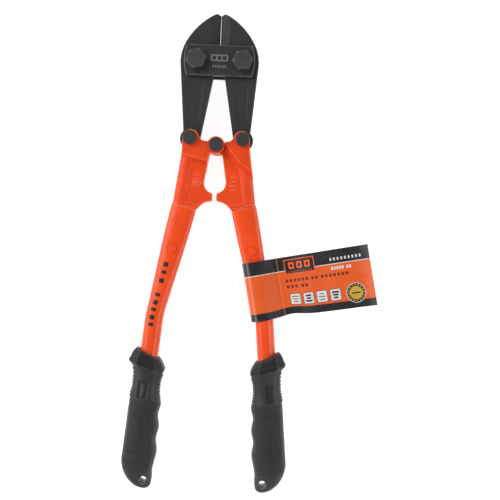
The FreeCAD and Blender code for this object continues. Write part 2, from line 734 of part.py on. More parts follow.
# ---- hang label ---------------------------------------------------------------------------
def teardrop_face(half_width, half_thickness, fold):
    """A loop around the tube drawn tight to the fold, in the label's own plane."""
    across, rise = fold
    reach = math.hypot(across / half_width, rise / half_thickness)
    lean = math.atan2(rise / half_thickness, across / half_width)
    spread = math.acos(1 / reach)
    oval = Part.Ellipse(V(0, 0, 0), half_width, half_thickness)
    oval_arc = Part.Arc(oval, lean + spread, lean + 2 * math.pi - spread).toShape()
    ends = [oval_arc.Vertexes[0].Point, oval_arc.Vertexes[-1].Point]
    tip = V(across, rise, 0)
    sides = [Part.LineSegment(end, tip).toShape() for end in ends]
    return Part.Face(Part.Wire(Part.__sortEdges__([oval_arc] + sides)))


def hang_label():
    """Sleeve and flag, drawn in the plane across the tube and drawn out along it."""
    widest = tube_section(label_start)[0]
    thickest = tube_section(label_start + label_height)[1]
    inner = (widest + label_clearance, thickest + label_clearance)
    outer = (inner[0] + label_card, inner[1] + label_card)
    fold = (label_fold_distance, label_fold_rise)
    inner_fold = (label_fold_distance - label_seam, label_fold_rise)
    loop = teardrop_face(outer[0], outer[1], fold).cut(teardrop_face(*inner, inner_fold))
    flag_run = (label_end_distance - fold[0], label_end_rise - fold[1])
    length = math.hypot(*flag_run)
    unit = (flag_run[0] / length, flag_run[1] / length)
    normal = (-unit[1] * label_card, unit[0] * label_card)
    root = (fold[0] - label_lap * unit[0], fold[1] - label_lap * unit[1])
    corners = [(root[0] + normal[0], root[1] + normal[1]), (root[0] - normal[0], root[1] - normal[1])]
    corners += [(label_end_distance - normal[0], label_end_rise - normal[1])]
    corners += [(label_end_distance + normal[0], label_end_rise + normal[1])]
    flag = Part.Face(Part.makePolygon([point(p) for p in corners + [corners[0]]]))
    drawn = V(0, 0, label_height)
    card = loop.extrude(drawn).fuse(flag.extrude(drawn)).removeSplitter()
    card.rotate(V(0, 0, 0), V(1, 0, 0), 90)
    card.rotate(V(0, 0, 0), V(0, 0, 1), tube_angle - label_turn)
    card.translate(point(tube_point(label_start)))
    return card


# ---- assembly -----------------------------------------------------------------------------
def all_parts():
    parts = {"front_plate": front_plate(), "rear_plate": rear_plate()}
    parts["right_jaw"] = jaw(right_jaw_hole())
    parts["left_jaw"] = mirrored(jaw(left_jaw_hole()))

    for side, x, turn in (("left", -jaw_pivot_x, left_bolt_turn),
                          ("right", jaw_pivot_x, right_bolt_turn)):
        centre = (x, jaw_pivot_y)
        parts[side + "_jaw_bolt"] = hex_bolt(centre, turn)
        parts[side + "_jaw_washer"] = washer(centre, jaw_washer_diameter, jaw_bolt_diameter,
                                             -plate_outer_z, jaw_washer_thickness)
        parts[side + "_jaw_nut"] = nut(centre, jaw_bolt_flats, jaw_bolt_diameter,
                                       -plate_outer_z - jaw_washer_thickness, jaw_nut_height, turn)

    pivots = (("left_link", (-link_pivot_x, link_pivot_y)), ("centre", CENTRE),
              ("right_link", LINK_PIVOT))
    for name, centre in pivots:
        parts[name + "_bolt"] = round_bolt(centre)
        parts[name + "_washer"] = washer(centre, link_washer_diameter, link_bolt_diameter,
                                         -cheek_half_thickness, link_washer_thickness)
        parts[name + "_nut"] = nut(centre, link_nut_flats, link_bolt_diameter,
                                   -cheek_half_thickness - link_washer_thickness,
                                   link_nut_height)

    head = right_head()
    parts["right_handle_head"] = head
    parts["left_handle_head"] = turned_over(head)
    for name, shape in (("handle_tube", handle_tube()), ("tube_rivet", tube_rivet()),
                        ("grip", grip())):
        for side, solid in both_sides(shape).items():
            parts[side + "_" + name] = solid
    parts["hang_label"] = hang_label()
    return parts


def main():
    os.makedirs("parts", exist_ok=True)
    for name, shape in all_parts().items():
        shape.translate(V(0, 0, mid_height))
        shape.exportStep("parts/" + name + ".step")
        print(name, len(shape.Solids), round(shape.Volume, 1), shape.isValid())


main()
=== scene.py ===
"""Looks of a pair of bolt cutters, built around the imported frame.

Lengths are in metres. X is across the tool, Y runs towards the jaw tips and Z is up, out of
the tool's front face. Sizes are fields of the class that builds a sub-assembly; places come
from the frame's boxes, joints and mounts.
"""

import json
import logging
import math
from dataclasses import dataclass
from enum import Enum
from typing import Sequence

import bmesh
import bpy
import numpy as np
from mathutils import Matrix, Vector


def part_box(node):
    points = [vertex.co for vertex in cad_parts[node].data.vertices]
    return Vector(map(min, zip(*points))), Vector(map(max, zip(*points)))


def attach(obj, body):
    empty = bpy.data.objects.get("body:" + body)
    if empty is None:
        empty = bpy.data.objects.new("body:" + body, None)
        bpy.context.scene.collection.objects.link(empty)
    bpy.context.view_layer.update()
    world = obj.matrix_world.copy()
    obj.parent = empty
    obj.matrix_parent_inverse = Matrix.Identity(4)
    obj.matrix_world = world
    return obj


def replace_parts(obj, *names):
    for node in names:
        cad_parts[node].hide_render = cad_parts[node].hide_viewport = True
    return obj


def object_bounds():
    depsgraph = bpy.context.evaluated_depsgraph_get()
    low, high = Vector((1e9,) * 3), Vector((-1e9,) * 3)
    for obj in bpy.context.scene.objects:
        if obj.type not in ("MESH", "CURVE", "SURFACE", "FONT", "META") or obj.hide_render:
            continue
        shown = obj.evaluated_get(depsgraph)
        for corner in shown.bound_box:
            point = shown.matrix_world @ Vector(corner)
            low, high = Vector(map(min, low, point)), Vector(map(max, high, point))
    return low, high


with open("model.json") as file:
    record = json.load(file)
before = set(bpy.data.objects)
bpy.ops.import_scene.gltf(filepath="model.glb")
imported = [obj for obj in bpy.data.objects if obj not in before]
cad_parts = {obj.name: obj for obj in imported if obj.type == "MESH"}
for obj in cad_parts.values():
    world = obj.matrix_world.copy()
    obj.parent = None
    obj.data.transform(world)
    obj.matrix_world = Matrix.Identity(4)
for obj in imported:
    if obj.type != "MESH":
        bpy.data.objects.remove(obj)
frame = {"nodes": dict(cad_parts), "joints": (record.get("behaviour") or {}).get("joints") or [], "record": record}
CAD_LOW, CAD_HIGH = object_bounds()
NODES: dict[str, bpy.types.Object] = frame["nodes"]
MM = 0.001
LOG = logging.getLogger("bolt_cutters")

Socket = bpy.types.NodeSocket
Colour = tuple[float, float, float]
Point = tuple[float, float, float]


class Side(Enum):
    """Which handle a piece belongs to, with the sign of its X."""

    LEFT = -1
    RIGHT = 1

    @property
    def word(self) -> str:
        """The side's name as it stands in node and body names."""
        return self.name.lower()


def joint_place(name: str) -> Vector:
    """Find a joint's pivot point.

    Args:
        name: The joint's name in the record.

    Returns:
        The point in the row frame.
    """
    return Vector(next(j["pos_m"] for j in frame["joints"] if j["name"] == name))


def mount_place(name: str) -> Vector:
    """Find a mount's point.

    Args:
        name: The mount's name in the record.

    Returns:
        The point in the row frame.
    """
    return Vector(next(m["pos_m"] for m in frame["record"]["mounts"] if m["name"] == name))


def smooth_step(low: float, high: float, value: np.ndarray) -> np.ndarray:
    """Ease from 0 at low to 1 at high.

    Args:
        low: Where the step starts.
        high: Where the step ends.
        value: The values to ease.

    Returns:
        Shares from 0 to 1, one for each value.
    """
    share = np.clip((value - low) / (high - low), 0.0, 1.0)
    return share * share * (3 - 2 * share)


# ---- finishes -----------------------------------------------------------------------------
class NodeSheet:
    """A material's node tree, with short calls for the nodes that the finishes share."""

    def __init__(self, name: str) -> None:
        """Start a material with a Principled shader.

        Args:
            name: The material's name.
        """
        self.material = bpy.data.materials.new(name)
        self.material.use_nodes = True
        self.tree = self.material.node_tree
        self.tree.nodes.clear()
        self.shader = self.add("ShaderNodeBsdfPrincipled")
        output = self.add("ShaderNodeOutputMaterial")
        self.link(self.shader.outputs["BSDF"], output.inputs["Surface"])
        self.place = self.add("ShaderNodeTexCoord").outputs["Object"]

    def add(self, kind: str, **settings: object) -> bpy.types.Node:
        """Add a node and set its plain properties.

        Args:
            kind: The node's type name.
            settings: Properties to set on it.

        Returns:
            The new node.
        """
        node = self.tree.nodes.new(kind)
        for key, value in settings.items():
            setattr(node, key, value)
        return node

    def link(self, source: Socket, target: Socket) -> None:
        """Join two sockets."""
        self.tree.links.new(source, target)

    def feed(self, target: Socket, value: object) -> None:
        """Give a socket a linked value or a constant.

        Args:
            target: The input socket.
            value: Another node's output, or a constant.
        """
        if isinstance(value, bpy.types.NodeSocket):
            self.link(value, target)
        else:
            target.default_value = value

    def noise(self, scale: float, detail: float = 3.0, rough: float = 0.5) -> Socket:
        """Even noise over the object.

        Args:
            scale: Cycles for each metre.
            detail: Octaves.
            rough: Strength of the finer octaves.

        Returns:
            The noise value.
        """
        node = self.add("ShaderNodeTexNoise")
        self.link(self.place, node.inputs["Vector"])
        node.inputs["Scale"].default_value = scale
        node.inputs["Detail"].default_value = detail
        node.inputs["Roughness"].default_value = rough
        return node.outputs["Fac"]

    def cells(self, scale: float) -> Socket:
        """Distance to the nearest point of a scatter.

        Args:
            scale: Cells for each metre.

        Returns:
            The distance value.
        """
        node = self.add("ShaderNodeTexVoronoi")
        self.link(self.place, node.inputs["Vector"])
        node.inputs["Scale"].default_value = scale
        return node.outputs["Distance"]

    def span(self, value: Socket, old: tuple[float, float], new: tuple[float, float]) -> Socket:
        """Map one range of values to another, held at its ends.

        Args:
            value: The value to map.
            old: The range it comes in.
            new: The range it leaves in.

        Returns:
            The mapped value.
        """
        node = self.add("ShaderNodeMapRange")
        self.link(value, node.inputs["Value"])
        for key, number in zip(("From Min", "From Max", "To Min", "To Max"), (*old, *new)):
            node.inputs[key].default_value = number
        return node.outputs["Result"]

    def sum(self, operation: str, first: object, second: object = 0.0) -> Socket:
        """Do one sum.

        Args:
            operation: The Math node's operation.
            first: A socket or a number.
            second: A socket or a number.

        Returns:
            The result.
        """
        node = self.add("ShaderNodeMath", operation=operation)
        self.feed(node.inputs[0], first)
        self.feed(node.inputs[1], second)
        return node.outputs["Value"]

    def mix(self, share: object, first: object, second: object) -> Socket:
        """Mix two colours.

        Args:
            share: How much of the second colour, from 0 to 1.
            first: A colour, or a socket of one.
            second: A colour, or a socket of one.

        Returns:
            The mixed colour.
        """
        node = self.add("ShaderNodeMix", data_type="RGBA")
        self.feed(node.inputs["Factor"], share)
        for socket, colour in ((node.inputs[6], first), (node.inputs[7], second)):
            self.feed(socket, (*colour, 1.0) if isinstance(colour, tuple) else colour)
        return node.outputs[2]

    def bump(self, height: Socket, depth: float, below: Socket | None = None) -> Socket:
        """Raise the surface by a height value.

        Args:
            height: The height, from 0 to 1.
            depth: What a height of 1 stands for, in metres.
            below: A bump that this one adds to.

        Returns:
            The bent normal.
        """
        node = self.add("ShaderNodeBump")
        node.inputs["Distance"].default_value = depth
        self.link(height, node.inputs["Height"])
        if below is not None:
            self.link(below, node.inputs["Normal"])
        return node.outputs["Normal"]

    def paint(self, **sockets: object) -> bpy.types.Material:
        """Feed the shader's sockets, with underscores for spaces in their names.

        Args:
            sockets: A socket or a constant for each named input.

        Returns:
            The finished material.
        """
        for key, value in sockets.items():
            self.feed(self.shader.inputs[key.replace("_", " ")], value)
        return self.material


@dataclass(frozen=True)
class OrangeEnamel:
    """Gloss orange enamel over a casting or a drawn tube."""

    name: str
    grain_depth: float
    colour: Colour = (0.87, 0.070, 0.009)
    deep: Colour = (0.80, 0.058, 0.007)
    # Lighter orange for thin edges: partly wear, partly a painted highlight.
    worn: Colour = (0.92, 0.19, 0.07)
    rough: float = 0.26
    coat: float = 0.15

    def make(self) -> bpy.types.Material:
        """Build the material: cloudy tint, paint ripple, casting grain, and thin edges painted a lighter orange,
        partly wear and partly a painted highlight.
        """
        sheet = NodeSheet(self.name)
        cloud = sheet.span(sheet.noise(55.0, 4.0), (0.35, 0.65), (0.0, 1.0))
        tint = sheet.mix(cloud, self.deep, self.colour)
        # Thin edges are painted a lighter orange: partly wear on the paint, partly a painted highlight where light
        # catches the rounded edges.
        edge = sheet.add("ShaderNodeNewGeometry").outputs["Pointiness"]
        thin = sheet.span(edge, (0.506, 0.538), (0.0, 0.9))
        tint = sheet.mix(thin, tint, self.worn)
        spread = (self.rough, self.rough + 0.14)
        gloss = sheet.span(sheet.noise(240.0, 3.0), (0.3, 0.7), spread)
        ripple = sheet.bump(sheet.noise(420.0, 2.0), 0.00006)
        grain = sheet.bump(sheet.noise(1500.0, 4.0, 0.6), self.grain_depth, ripple)
        return sheet.paint(Base_Color=tint, Roughness=gloss, Normal=grain, Coat_Weight=self.coat,
                           Coat_Roughness=0.12, Specular_IOR_Level=0.32)


@dataclass(frozen=True)
class BlackSteel:
    """Forged or rolled steel with a black oxide skin, painted lighter on its edges: partly wear, partly a painted
    highlight.
    """

    name: str
    colour: Colour
    # Lighter colour for edges and bevels: partly wear, partly a painted highlight.
    worn: Colour = (0.16, 0.155, 0.15)
    roughness: float = 0.42
    grain_depth: float = 0.00003
    bevels: float = 0.0
    # Strength of the lighter edges: partly wear, partly a painted highlight.
    rubbed: float = 0.6
    shine: float = 0.4

    def make(self) -> bpy.types.Material:
        """Build the material: scale, fine pits, handling marks, and lighter edges that are partly wear and partly
        a painted highlight; on pieces with bevels, the bevel faces take a painted highlight instead.
        """
        sheet = NodeSheet(self.name)
        dark = tuple(0.85 * part for part in self.colour)
        cloud = sheet.span(sheet.noise(90.0, 5.0, 0.6), (0.3, 0.7), (0.0, 1.0))
        tint = sheet.mix(cloud, dark, self.colour)
        # Edges are painted lighter: partly wear on the oxide, partly a painted highlight where light catches them.
        edge = sheet.add("ShaderNodeNewGeometry").outputs["Pointiness"]
        patchy = sheet.span(sheet.noise(600.0, 3.0), (0.35, 0.6), (0.25, 1.0))
        bare = sheet.span(edge, (0.51, 0.58), (0.0, self.rubbed))
        # On pieces with bevels, the sloped faces are painted lighter instead, as a painted highlight of light
        # falling on them.
        if self.bevels:
            bare = sheet.sum("MULTIPLY", self.sloped(sheet), self.bevels)
        tint = sheet.mix(sheet.sum("MULTIPLY", bare, patchy), tint, self.worn)
        spread = (self.roughness - 0.07, self.roughness + 0.10)
        gloss = sheet.span(sheet.noise(320.0, 4.0), (0.3, 0.7), spread)
        pits = sheet.bump(sheet.noise(1900.0, 4.0, 0.65), self.grain_depth)
        scale = sheet.bump(sheet.noise(170.0, 3.0), 0.00012, pits)
        return sheet.paint(Base_Color=tint, Roughness=gloss, Normal=scale,
                           Specular_IOR_Level=self.shine)

    def sloped(self, sheet: NodeSheet) -> Socket:
        """Find the bevels, which are the faces that neither lie flat nor stand upright, to take a painted
        highlight.

        Args:
            sheet: The material's nodes.

        Returns:
            1 on a bevel and 0 elsewhere.
        """
        parts = sheet.add("ShaderNodeSeparateXYZ")
        normal = next(n for n in sheet.tree.nodes if n.type == "TEX_COORD").outputs["Normal"]
        sheet.link(normal, parts.inputs[0])
        lift = sheet.sum("ABSOLUTE", parts.outputs["Z"])
        standing = sheet.span(lift, (0.25, 0.45), (0.0, 1.0))
        return sheet.sum("MULTIPLY", standing, sheet.span(lift, (0.93, 0.985), (1.0, 0.0)))


@dataclass(frozen=True)
class GripPlastic:
    """Dark grey moulded soft plastic with a fine spark-eroded texture."""

    name: str = "grip_plastic"
    colour: Colour = (0.024, 0.024, 0.025)
    pale: Colour = (0.040, 0.040, 0.041)
    polished: Colour = (0.009, 0.009, 0.010)
    tab: Colour = (0.075, 0.075, 0.076)
    # Pale grey for the hanging holes' walls: painted light where they would fall in shade.
    bare: Colour = (0.34, 0.34, 0.33)

    def make(self) -> bpy.types.Material:
        """Build the material: mould texture, polished bands, scuffs on the high spots, and pale painted light on
        the hanging holes' walls.
        """
        sheet = NodeSheet(self.name)
        cloud = sheet.span(sheet.noise(70.0, 4.0), (0.35, 0.7), (0.0, 0.6))
        tint = sheet.mix(cloud, self.colour, self.pale)
        zone = sheet.add("ShaderNodeAttribute", attribute_name="zone").outputs["Fac"]
        tint = sheet.mix(sheet.span(zone, (0.0, 1.0), (0.0, 1.0)), tint, self.polished)
        tint = sheet.mix(sheet.span(zone, (0.0, -1.0), (0.0, 1.0)), tint, self.tab)
        # Painted light: the hanging holes' walls (zone -3) are painted pale grey against the shade inside the
        # holes.
        tint = sheet.mix(sheet.span(zone, (-2.0, -3.0), (0.0, 1.0)), tint, self.bare)
        edge = sheet.add("ShaderNodeNewGeometry").outputs["Pointiness"]
        tint = sheet.mix(sheet.span(edge, (0.51, 0.60), (0.0, 0.5)), tint, self.pale)
        gloss = sheet.span(sheet.noise(500.0, 3.0), (0.3, 0.7), (0.46, 0.62))
        fine = sheet.bump(sheet.cells(2600.0), 0.00003)
        grain = sheet.bump(sheet.noise(3200.0, 2.0), 0.00003, fine)
        return sheet.paint(Base_Color=tint, Roughness=gloss, Normal=grain,
                           Specular_IOR_Level=0.4)


@dataclass(frozen=True)
class PrintInk:
    """A flat print with a little unevenness in its cover."""

    name: str
    colour: Colour
    thin: Colour

    def make(self) -> bpy.types.Material:
        """Build the material: ink that covers slightly unevenly, on a faint surface grain."""
        sheet = NodeSheet(self.name)
        cover = sheet.span(sheet.noise(900.0, 3.0), (0.35, 0.65), (0.0, 1.0))
        gloss = sheet.span(sheet.noise(400.0, 2.0), (0.3, 0.7), (0.35, 0.5))
        grain = sheet.bump(sheet.noise(2400.0, 2.0), 0.00001)
        return sheet.paint(Base_Color=sheet.mix(cover, self.thin, self.colour), Roughness=gloss,
                           Normal=grain)


class Patch(Enum):
    """The outline of a printed patch on the label."""

    BAR = "bar"
    DISC = "disc"


@dataclass(frozen=True)
class Print:
    """One printed patch: its outline, middle, half sizes in millimetres and colour."""

    outline: Patch
    across: float
    up: float
    half_wide: float
    half_high: float
    colour: Colour
    corner: float = 0.2


@dataclass(frozen=True)
class PrintedCard:
    """Glossy card printed with plain bands, bars, squares and a seal. It bears no lettering."""

    name: str = "printed_card"
    height: float = 43.3
    orange: Colour = (0.86, 0.13, 0.016)
    black: Colour = (0.016, 0.016, 0.019)
    white: Colour = (0.74, 0.72, 0.69)
    gold: Colour = (0.60, 0.38, 0.05)
    maroon: Colour = (0.22, 0.020, 0.008)
    # Pale colour for the painted highlight along the fold.
    crease: Colour = (0.85, 0.45, 0.30)

    def bars(self, start: float, up: float, widths: Sequence[float], gap: float,
             half_high: float, colour: Colour) -> list[Print]:
        """Lay plain bars in a row, as filler for a line of print.

        Args:
            start: Where the row starts.
            up: Height of the row's middle.
            widths: The bars' widths in order.
            gap: Space between two bars.
            half_high: Half a bar's height.
            colour: The bars' ink.

        Returns:
            The row's patches.
        """
        row: list[Print] = []
        place = start
        for width in widths:
            row.append(Print(Patch.BAR, place + width / 2, up, width / 2, half_high, colour))
            place += width + gap
        return row

    def artwork(self) -> list[Print]:
        """List the patches from the bottom layer up.

        Returns:
            The patches, measured from the fold and from the lower edge.
        """
        bar = Patch.BAR
        art = [Print(bar, 0, self.height - 4.95, 400, 4.95, self.black)]
        art += [Print(bar, 0, self.height - 10.2, 400, 0.28, self.white)]
        art += [Print(bar, 0, 2.75, 400, 2.75, self.black)]
        art += [Print(bar, 16.8, 35.6, 11.7, 5.5, self.orange, 0.5)]
        art += [Print(bar, 16.8, 35.6, 11.0, 4.8, self.black, 0.4)]
        for step in range(3):
            art += [Print(bar, 10.6 + 6.2 * step, 36.4, 2.2, 2.5, self.orange, 0.6)]
            art += [Print(bar, 10.6 + 6.2 * step, 36.4, 0.9, 1.1, self.black, 0.3)]
        art += self.bars(7.2, 31.9, [1.0] * 10, 1.0, 0.3, self.orange)
        art += self.bars(40.2, 36.5, [1.3] * 9, 1.4, 1.0, self.white)
        art += self.bars(40.3, 30.0, [1.35] * 5, 0.65, 1.15, self.white)
        art += self.bars(51.7, 30.0, [1.35] * 2, 0.65, 1.15, self.white)
        for start, count in ((4.6, 6), (24.4, 2), (31.8, 7)):
            art += self.bars(start, 25.4, [2.0] * count, 1.1, 1.05, self.maroon)
        for start, count in ((4.8, 3), (16.0, 2)):
            art += self.bars(start, 20.9, [2.1] * count, 1.1, 1.15, self.maroon)
        for step in range(4):
            middle = 10.0 + 10.2 * step
            art += [Print(bar, middle, 11.2, 4.3, 4.5, self.maroon, 1.2)]
            art += [Print(bar, middle, 11.2, 3.8, 4.0, self.white, 0.9)]
            for line in range(3):
                wide = 2.6 - 0.5 * ((step + line) % 3)
                high = 0.28 + 0.35 * ((step + 2 * line) % 2)
                art += [Print(bar, middle, 13.1 - 2.0 * line, wide, high, self.black)]
        seal = (55.6, 10.6)
        for radius, ink in ((7.1, self.white), (6.7, self.black), (4.7, self.gold)):
            art += [Print(Patch.DISC, *seal, radius, radius, ink)]
        for step in range(16):
            turn = 2 * math.pi * step / 16
            spot = (seal[0] + 5.7 * math.cos(turn), seal[1] + 5.7 * math.sin(turn))
            art += [Print(Patch.DISC, *spot, 0.55, 0.55, self.gold)]
        art += [Print(bar, *seal, 4.9, 1.2, self.gold, 0.3)]
        art += [Print(bar, *seal, 3.4, 0.45, self.black, 0.2)]
        return art

    def mask(self, sheet: NodeSheet, across: Socket, up: Socket, patch: Print) -> Socket:
        """Build the cover of one patch.

        Args:
            sheet: The material's nodes.
            across: Distance from the fold, in millimetres.
            up: Height above the lower edge, in millimetres.
            patch: The patch.

        Returns:
            1 inside the patch and 0 outside, with a soft edge.
        """
        beside = sheet.sum("ABSOLUTE", sheet.sum("SUBTRACT", across, patch.across))
        above = sheet.sum("ABSOLUTE", sheet.sum("SUBTRACT", up, patch.up))
        radius = patch.half_wide if patch.outline is Patch.DISC else patch.corner
        beside = sheet.sum("MAXIMUM", sheet.sum("SUBTRACT", beside, patch.half_wide - radius))
        above = sheet.sum("MAXIMUM", sheet.sum("SUBTRACT", above, patch.half_high - radius))
        far = sheet.sum("SQRT", sheet.sum("ADD", sheet.sum("MULTIPLY", beside, beside),
                                          sheet.sum("MULTIPLY", above, above)))
        return sheet.span(far, (radius - 0.06, radius + 0.06), (1.0, 0.0))

    def make(self) -> bpy.types.Material:
        """Build the material: printed patches under a clear gloss film, and a painted highlight along the fold."""
        sheet = NodeSheet(self.name)
        parts = sheet.add("ShaderNodeSeparateXYZ")
        sheet.link(sheet.add("ShaderNodeUVMap", uv_map="print").outputs["UV"], parts.inputs[0])
        across = sheet.sum("MULTIPLY", parts.outputs["X"], 100.0)
        up = sheet.sum("MULTIPLY", parts.outputs["Y"], 100.0)
        tint = sheet.mix(sheet.noise(60.0, 2.0), (0.80, 0.10, 0.012), self.orange)
        for patch in self.artwork():
            tint = sheet.mix(self.mask(sheet, across, up, patch), tint, patch.colour)
        # Painted highlight: a pale line along the fold, where light catches the card's bend.
        near = sheet.span(sheet.sum("ABSOLUTE", across), (0.1, 0.5), (0.4, 0.0))
        tint = sheet.mix(near, tint, self.crease)
        gloss = sheet.span(sheet.noise(120.0, 2.0), (0.3, 0.7), (0.24, 0.34))
        ripple = sheet.bump(sheet.noise(60.0, 1.0), 0.0003)
        return sheet.paint(Base_Color=tint, Roughness=gloss, Normal=ripple, Coat_Weight=0.5,
                           Coat_Roughness=0.2)


# ---- mesh helpers -------------------------------------------------------------------------
def new_piece(name: str, points: Sequence[Point], faces: Sequence[Sequence[int]],
              finish: bpy.types.Material) -> bpy.types.Object:
    """Make a smooth-shaded mesh object.

    Args:
        name: The piece's name.
        points: Its vertices.
        faces: Its faces, as rows of vertex numbers.
        finish: Its material.

    Returns:
        The object, linked to the scene.
    """
    mesh = bpy.data.meshes.new(name)
    mesh.from_pydata([tuple(p) for p in points], [], [tuple(f) for f in faces])
    mesh.validate()
    sheet = bmesh.new()
    sheet.from_mesh(mesh)
    bmesh.ops.recalc_face_normals(sheet, faces=sheet.faces)
    sheet.to_mesh(mesh)
    sheet.free()
    mesh.shade_smooth()
    mesh.materials.append(finish)
    piece = bpy.data.objects.new(name, mesh)
    bpy.context.scene.collection.objects.link(piece)
    return piece


def settle(piece: bpy.types.Object) -> None:
    """Apply a piece's modifiers to its mesh."""
    graph = bpy.context.evaluated_depsgraph_get()
    mesh = bpy.data.meshes.new_from_object(piece.evaluated_get(graph))
    piece.modifiers.clear()
    piece.data = mesh


def ring_faces(rows: int, columns: int) -> list[tuple[int, int, int, int]]:
    """Faces that join neighbouring rings of a tube-like grid.

    Args:
        rows: Number of rings.
        columns: Points in each ring.

    Returns:
        The faces.
    """
    faces = []
    for row in range(rows - 1):
        for column in range(columns):
            after = (column + 1) % columns
            first, second = row * columns, (row + 1) * columns
            faces.append((first + column, first + after, second + after, second + column))
    return faces


def sweep_piece(name: str, rings: Sequence[Sequence[Vector]], closed: bool,
                finish: bpy.types.Material) -> bpy.types.Object:
    """Skin a row of rings of equal size.

    Args:
        name: The piece's name.
        rings: The rings, from one end to the other.
        closed: True to join the last ring to the first, False to cap both ends.
        finish: The piece's material.

    Returns:
        The object.
    """
    rows, columns = len(rings), len(rings[0])
    points = [tuple(p) for ring in rings for p in ring]
    faces: list[tuple[int, ...]] = list(ring_faces(rows, columns))
    if closed:
        last = (rows - 1) * columns
        for column in range(columns):
            after = (column + 1) % columns
            faces.append((last + column, last + after, after, column))
    else:
        for row, start in ((rings[0], 0), (rings[-1], (rows - 1) * columns)):
            middle = sum((Vector(p) for p in row), Vector()) / columns
            points.append(tuple(middle))
            for column in range(columns):
                after = (column + 1) % columns
                faces.append((start + column, start + after, len(points) - 1))
    return new_piece(name, points, faces, finish)


@dataclass(frozen=True)
class SoftCopy:
    """Turns a CAD node's crisp mesh into one with the soft edges of a casting or forging.

    Nothing is softened nearer to the centre line than the crisp distance.
    """

    voxel: float
    rounds: int
    crisp: float = 0.0

    def make(self, node: str, name: str, finish: bpy.types.Material,
             extras: Sequence[bpy.types.Object] = ()) -> bpy.types.Object:
        """Copy a node, melt raised extras into it and soften the result.

        Args:
            node: The CAD node.
            name: The new piece's name.
            finish: The piece's material.
            extras: Closed meshes that are melted into the copy and then removed.

        Returns:
            The piece, which replaces the node.
        """
        mesh = NODES[node].data.copy()
        shape = bmesh.new()
        shape.from_mesh(mesh)
        for extra in extras:
            shape.from_mesh(extra.data)
            bpy.data.objects.remove(extra)
        bmesh.ops.remove_doubles(shape, verts=shape.verts, dist=2e-6)
        shape.to_mesh(mesh)
        shape.free()
        piece = bpy.data.objects.new(name, mesh)
        bpy.context.scene.collection.objects.link(piece)
        remesh = piece.modifiers.new("melt", "REMESH")
        remesh.mode, remesh.voxel_size = "VOXEL", self.voxel
        remesh.use_smooth_shade = True
        settle(piece)
        far = [v.index for v in piece.data.vertices if abs(v.co.x) >= self.crisp]
        piece.vertex_groups.new(name="soft").add(far, 1.0, "REPLACE")
        soften = piece.modifiers.new("soften", "SMOOTH")
        soften.factor, soften.iterations = 0.5, self.rounds
        soften.vertex_group = "soft"
        settle(piece)
        piece.data.materials.clear()
        piece.data.materials.append(finish)
        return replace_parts(piece, node)


def box_points(centre: Vector, half: Vector, lean: float) -> list[Point]:
    """Corners of a block leaning in the XY plane.

    Args:
        centre: The block's middle.
        half: Half its size along its own X, Y and Z.
        lean: Its turn about Z, in radians.

    Returns:
        Eight corners.
    """
    across = Vector((math.cos(lean), math.sin(lean), 0)) * half.x
    along = Vector((-math.sin(lean), math.cos(lean), 0)) * half.y
    rise = Vector((0, 0, half.z))
    signs = [(x, y, z) for z in (-1, 1) for y in (-1, 1) for x in (-1, 1)]
    return [tuple(centre + across * x + along * y + rise * z) for x, y, z in signs]


BOX_FACES = ((0, 1, 3, 2), (4, 5, 7, 6), (0, 1, 5, 4), (2, 3, 7, 6), (0, 2, 6, 4), (1, 3, 7, 5))


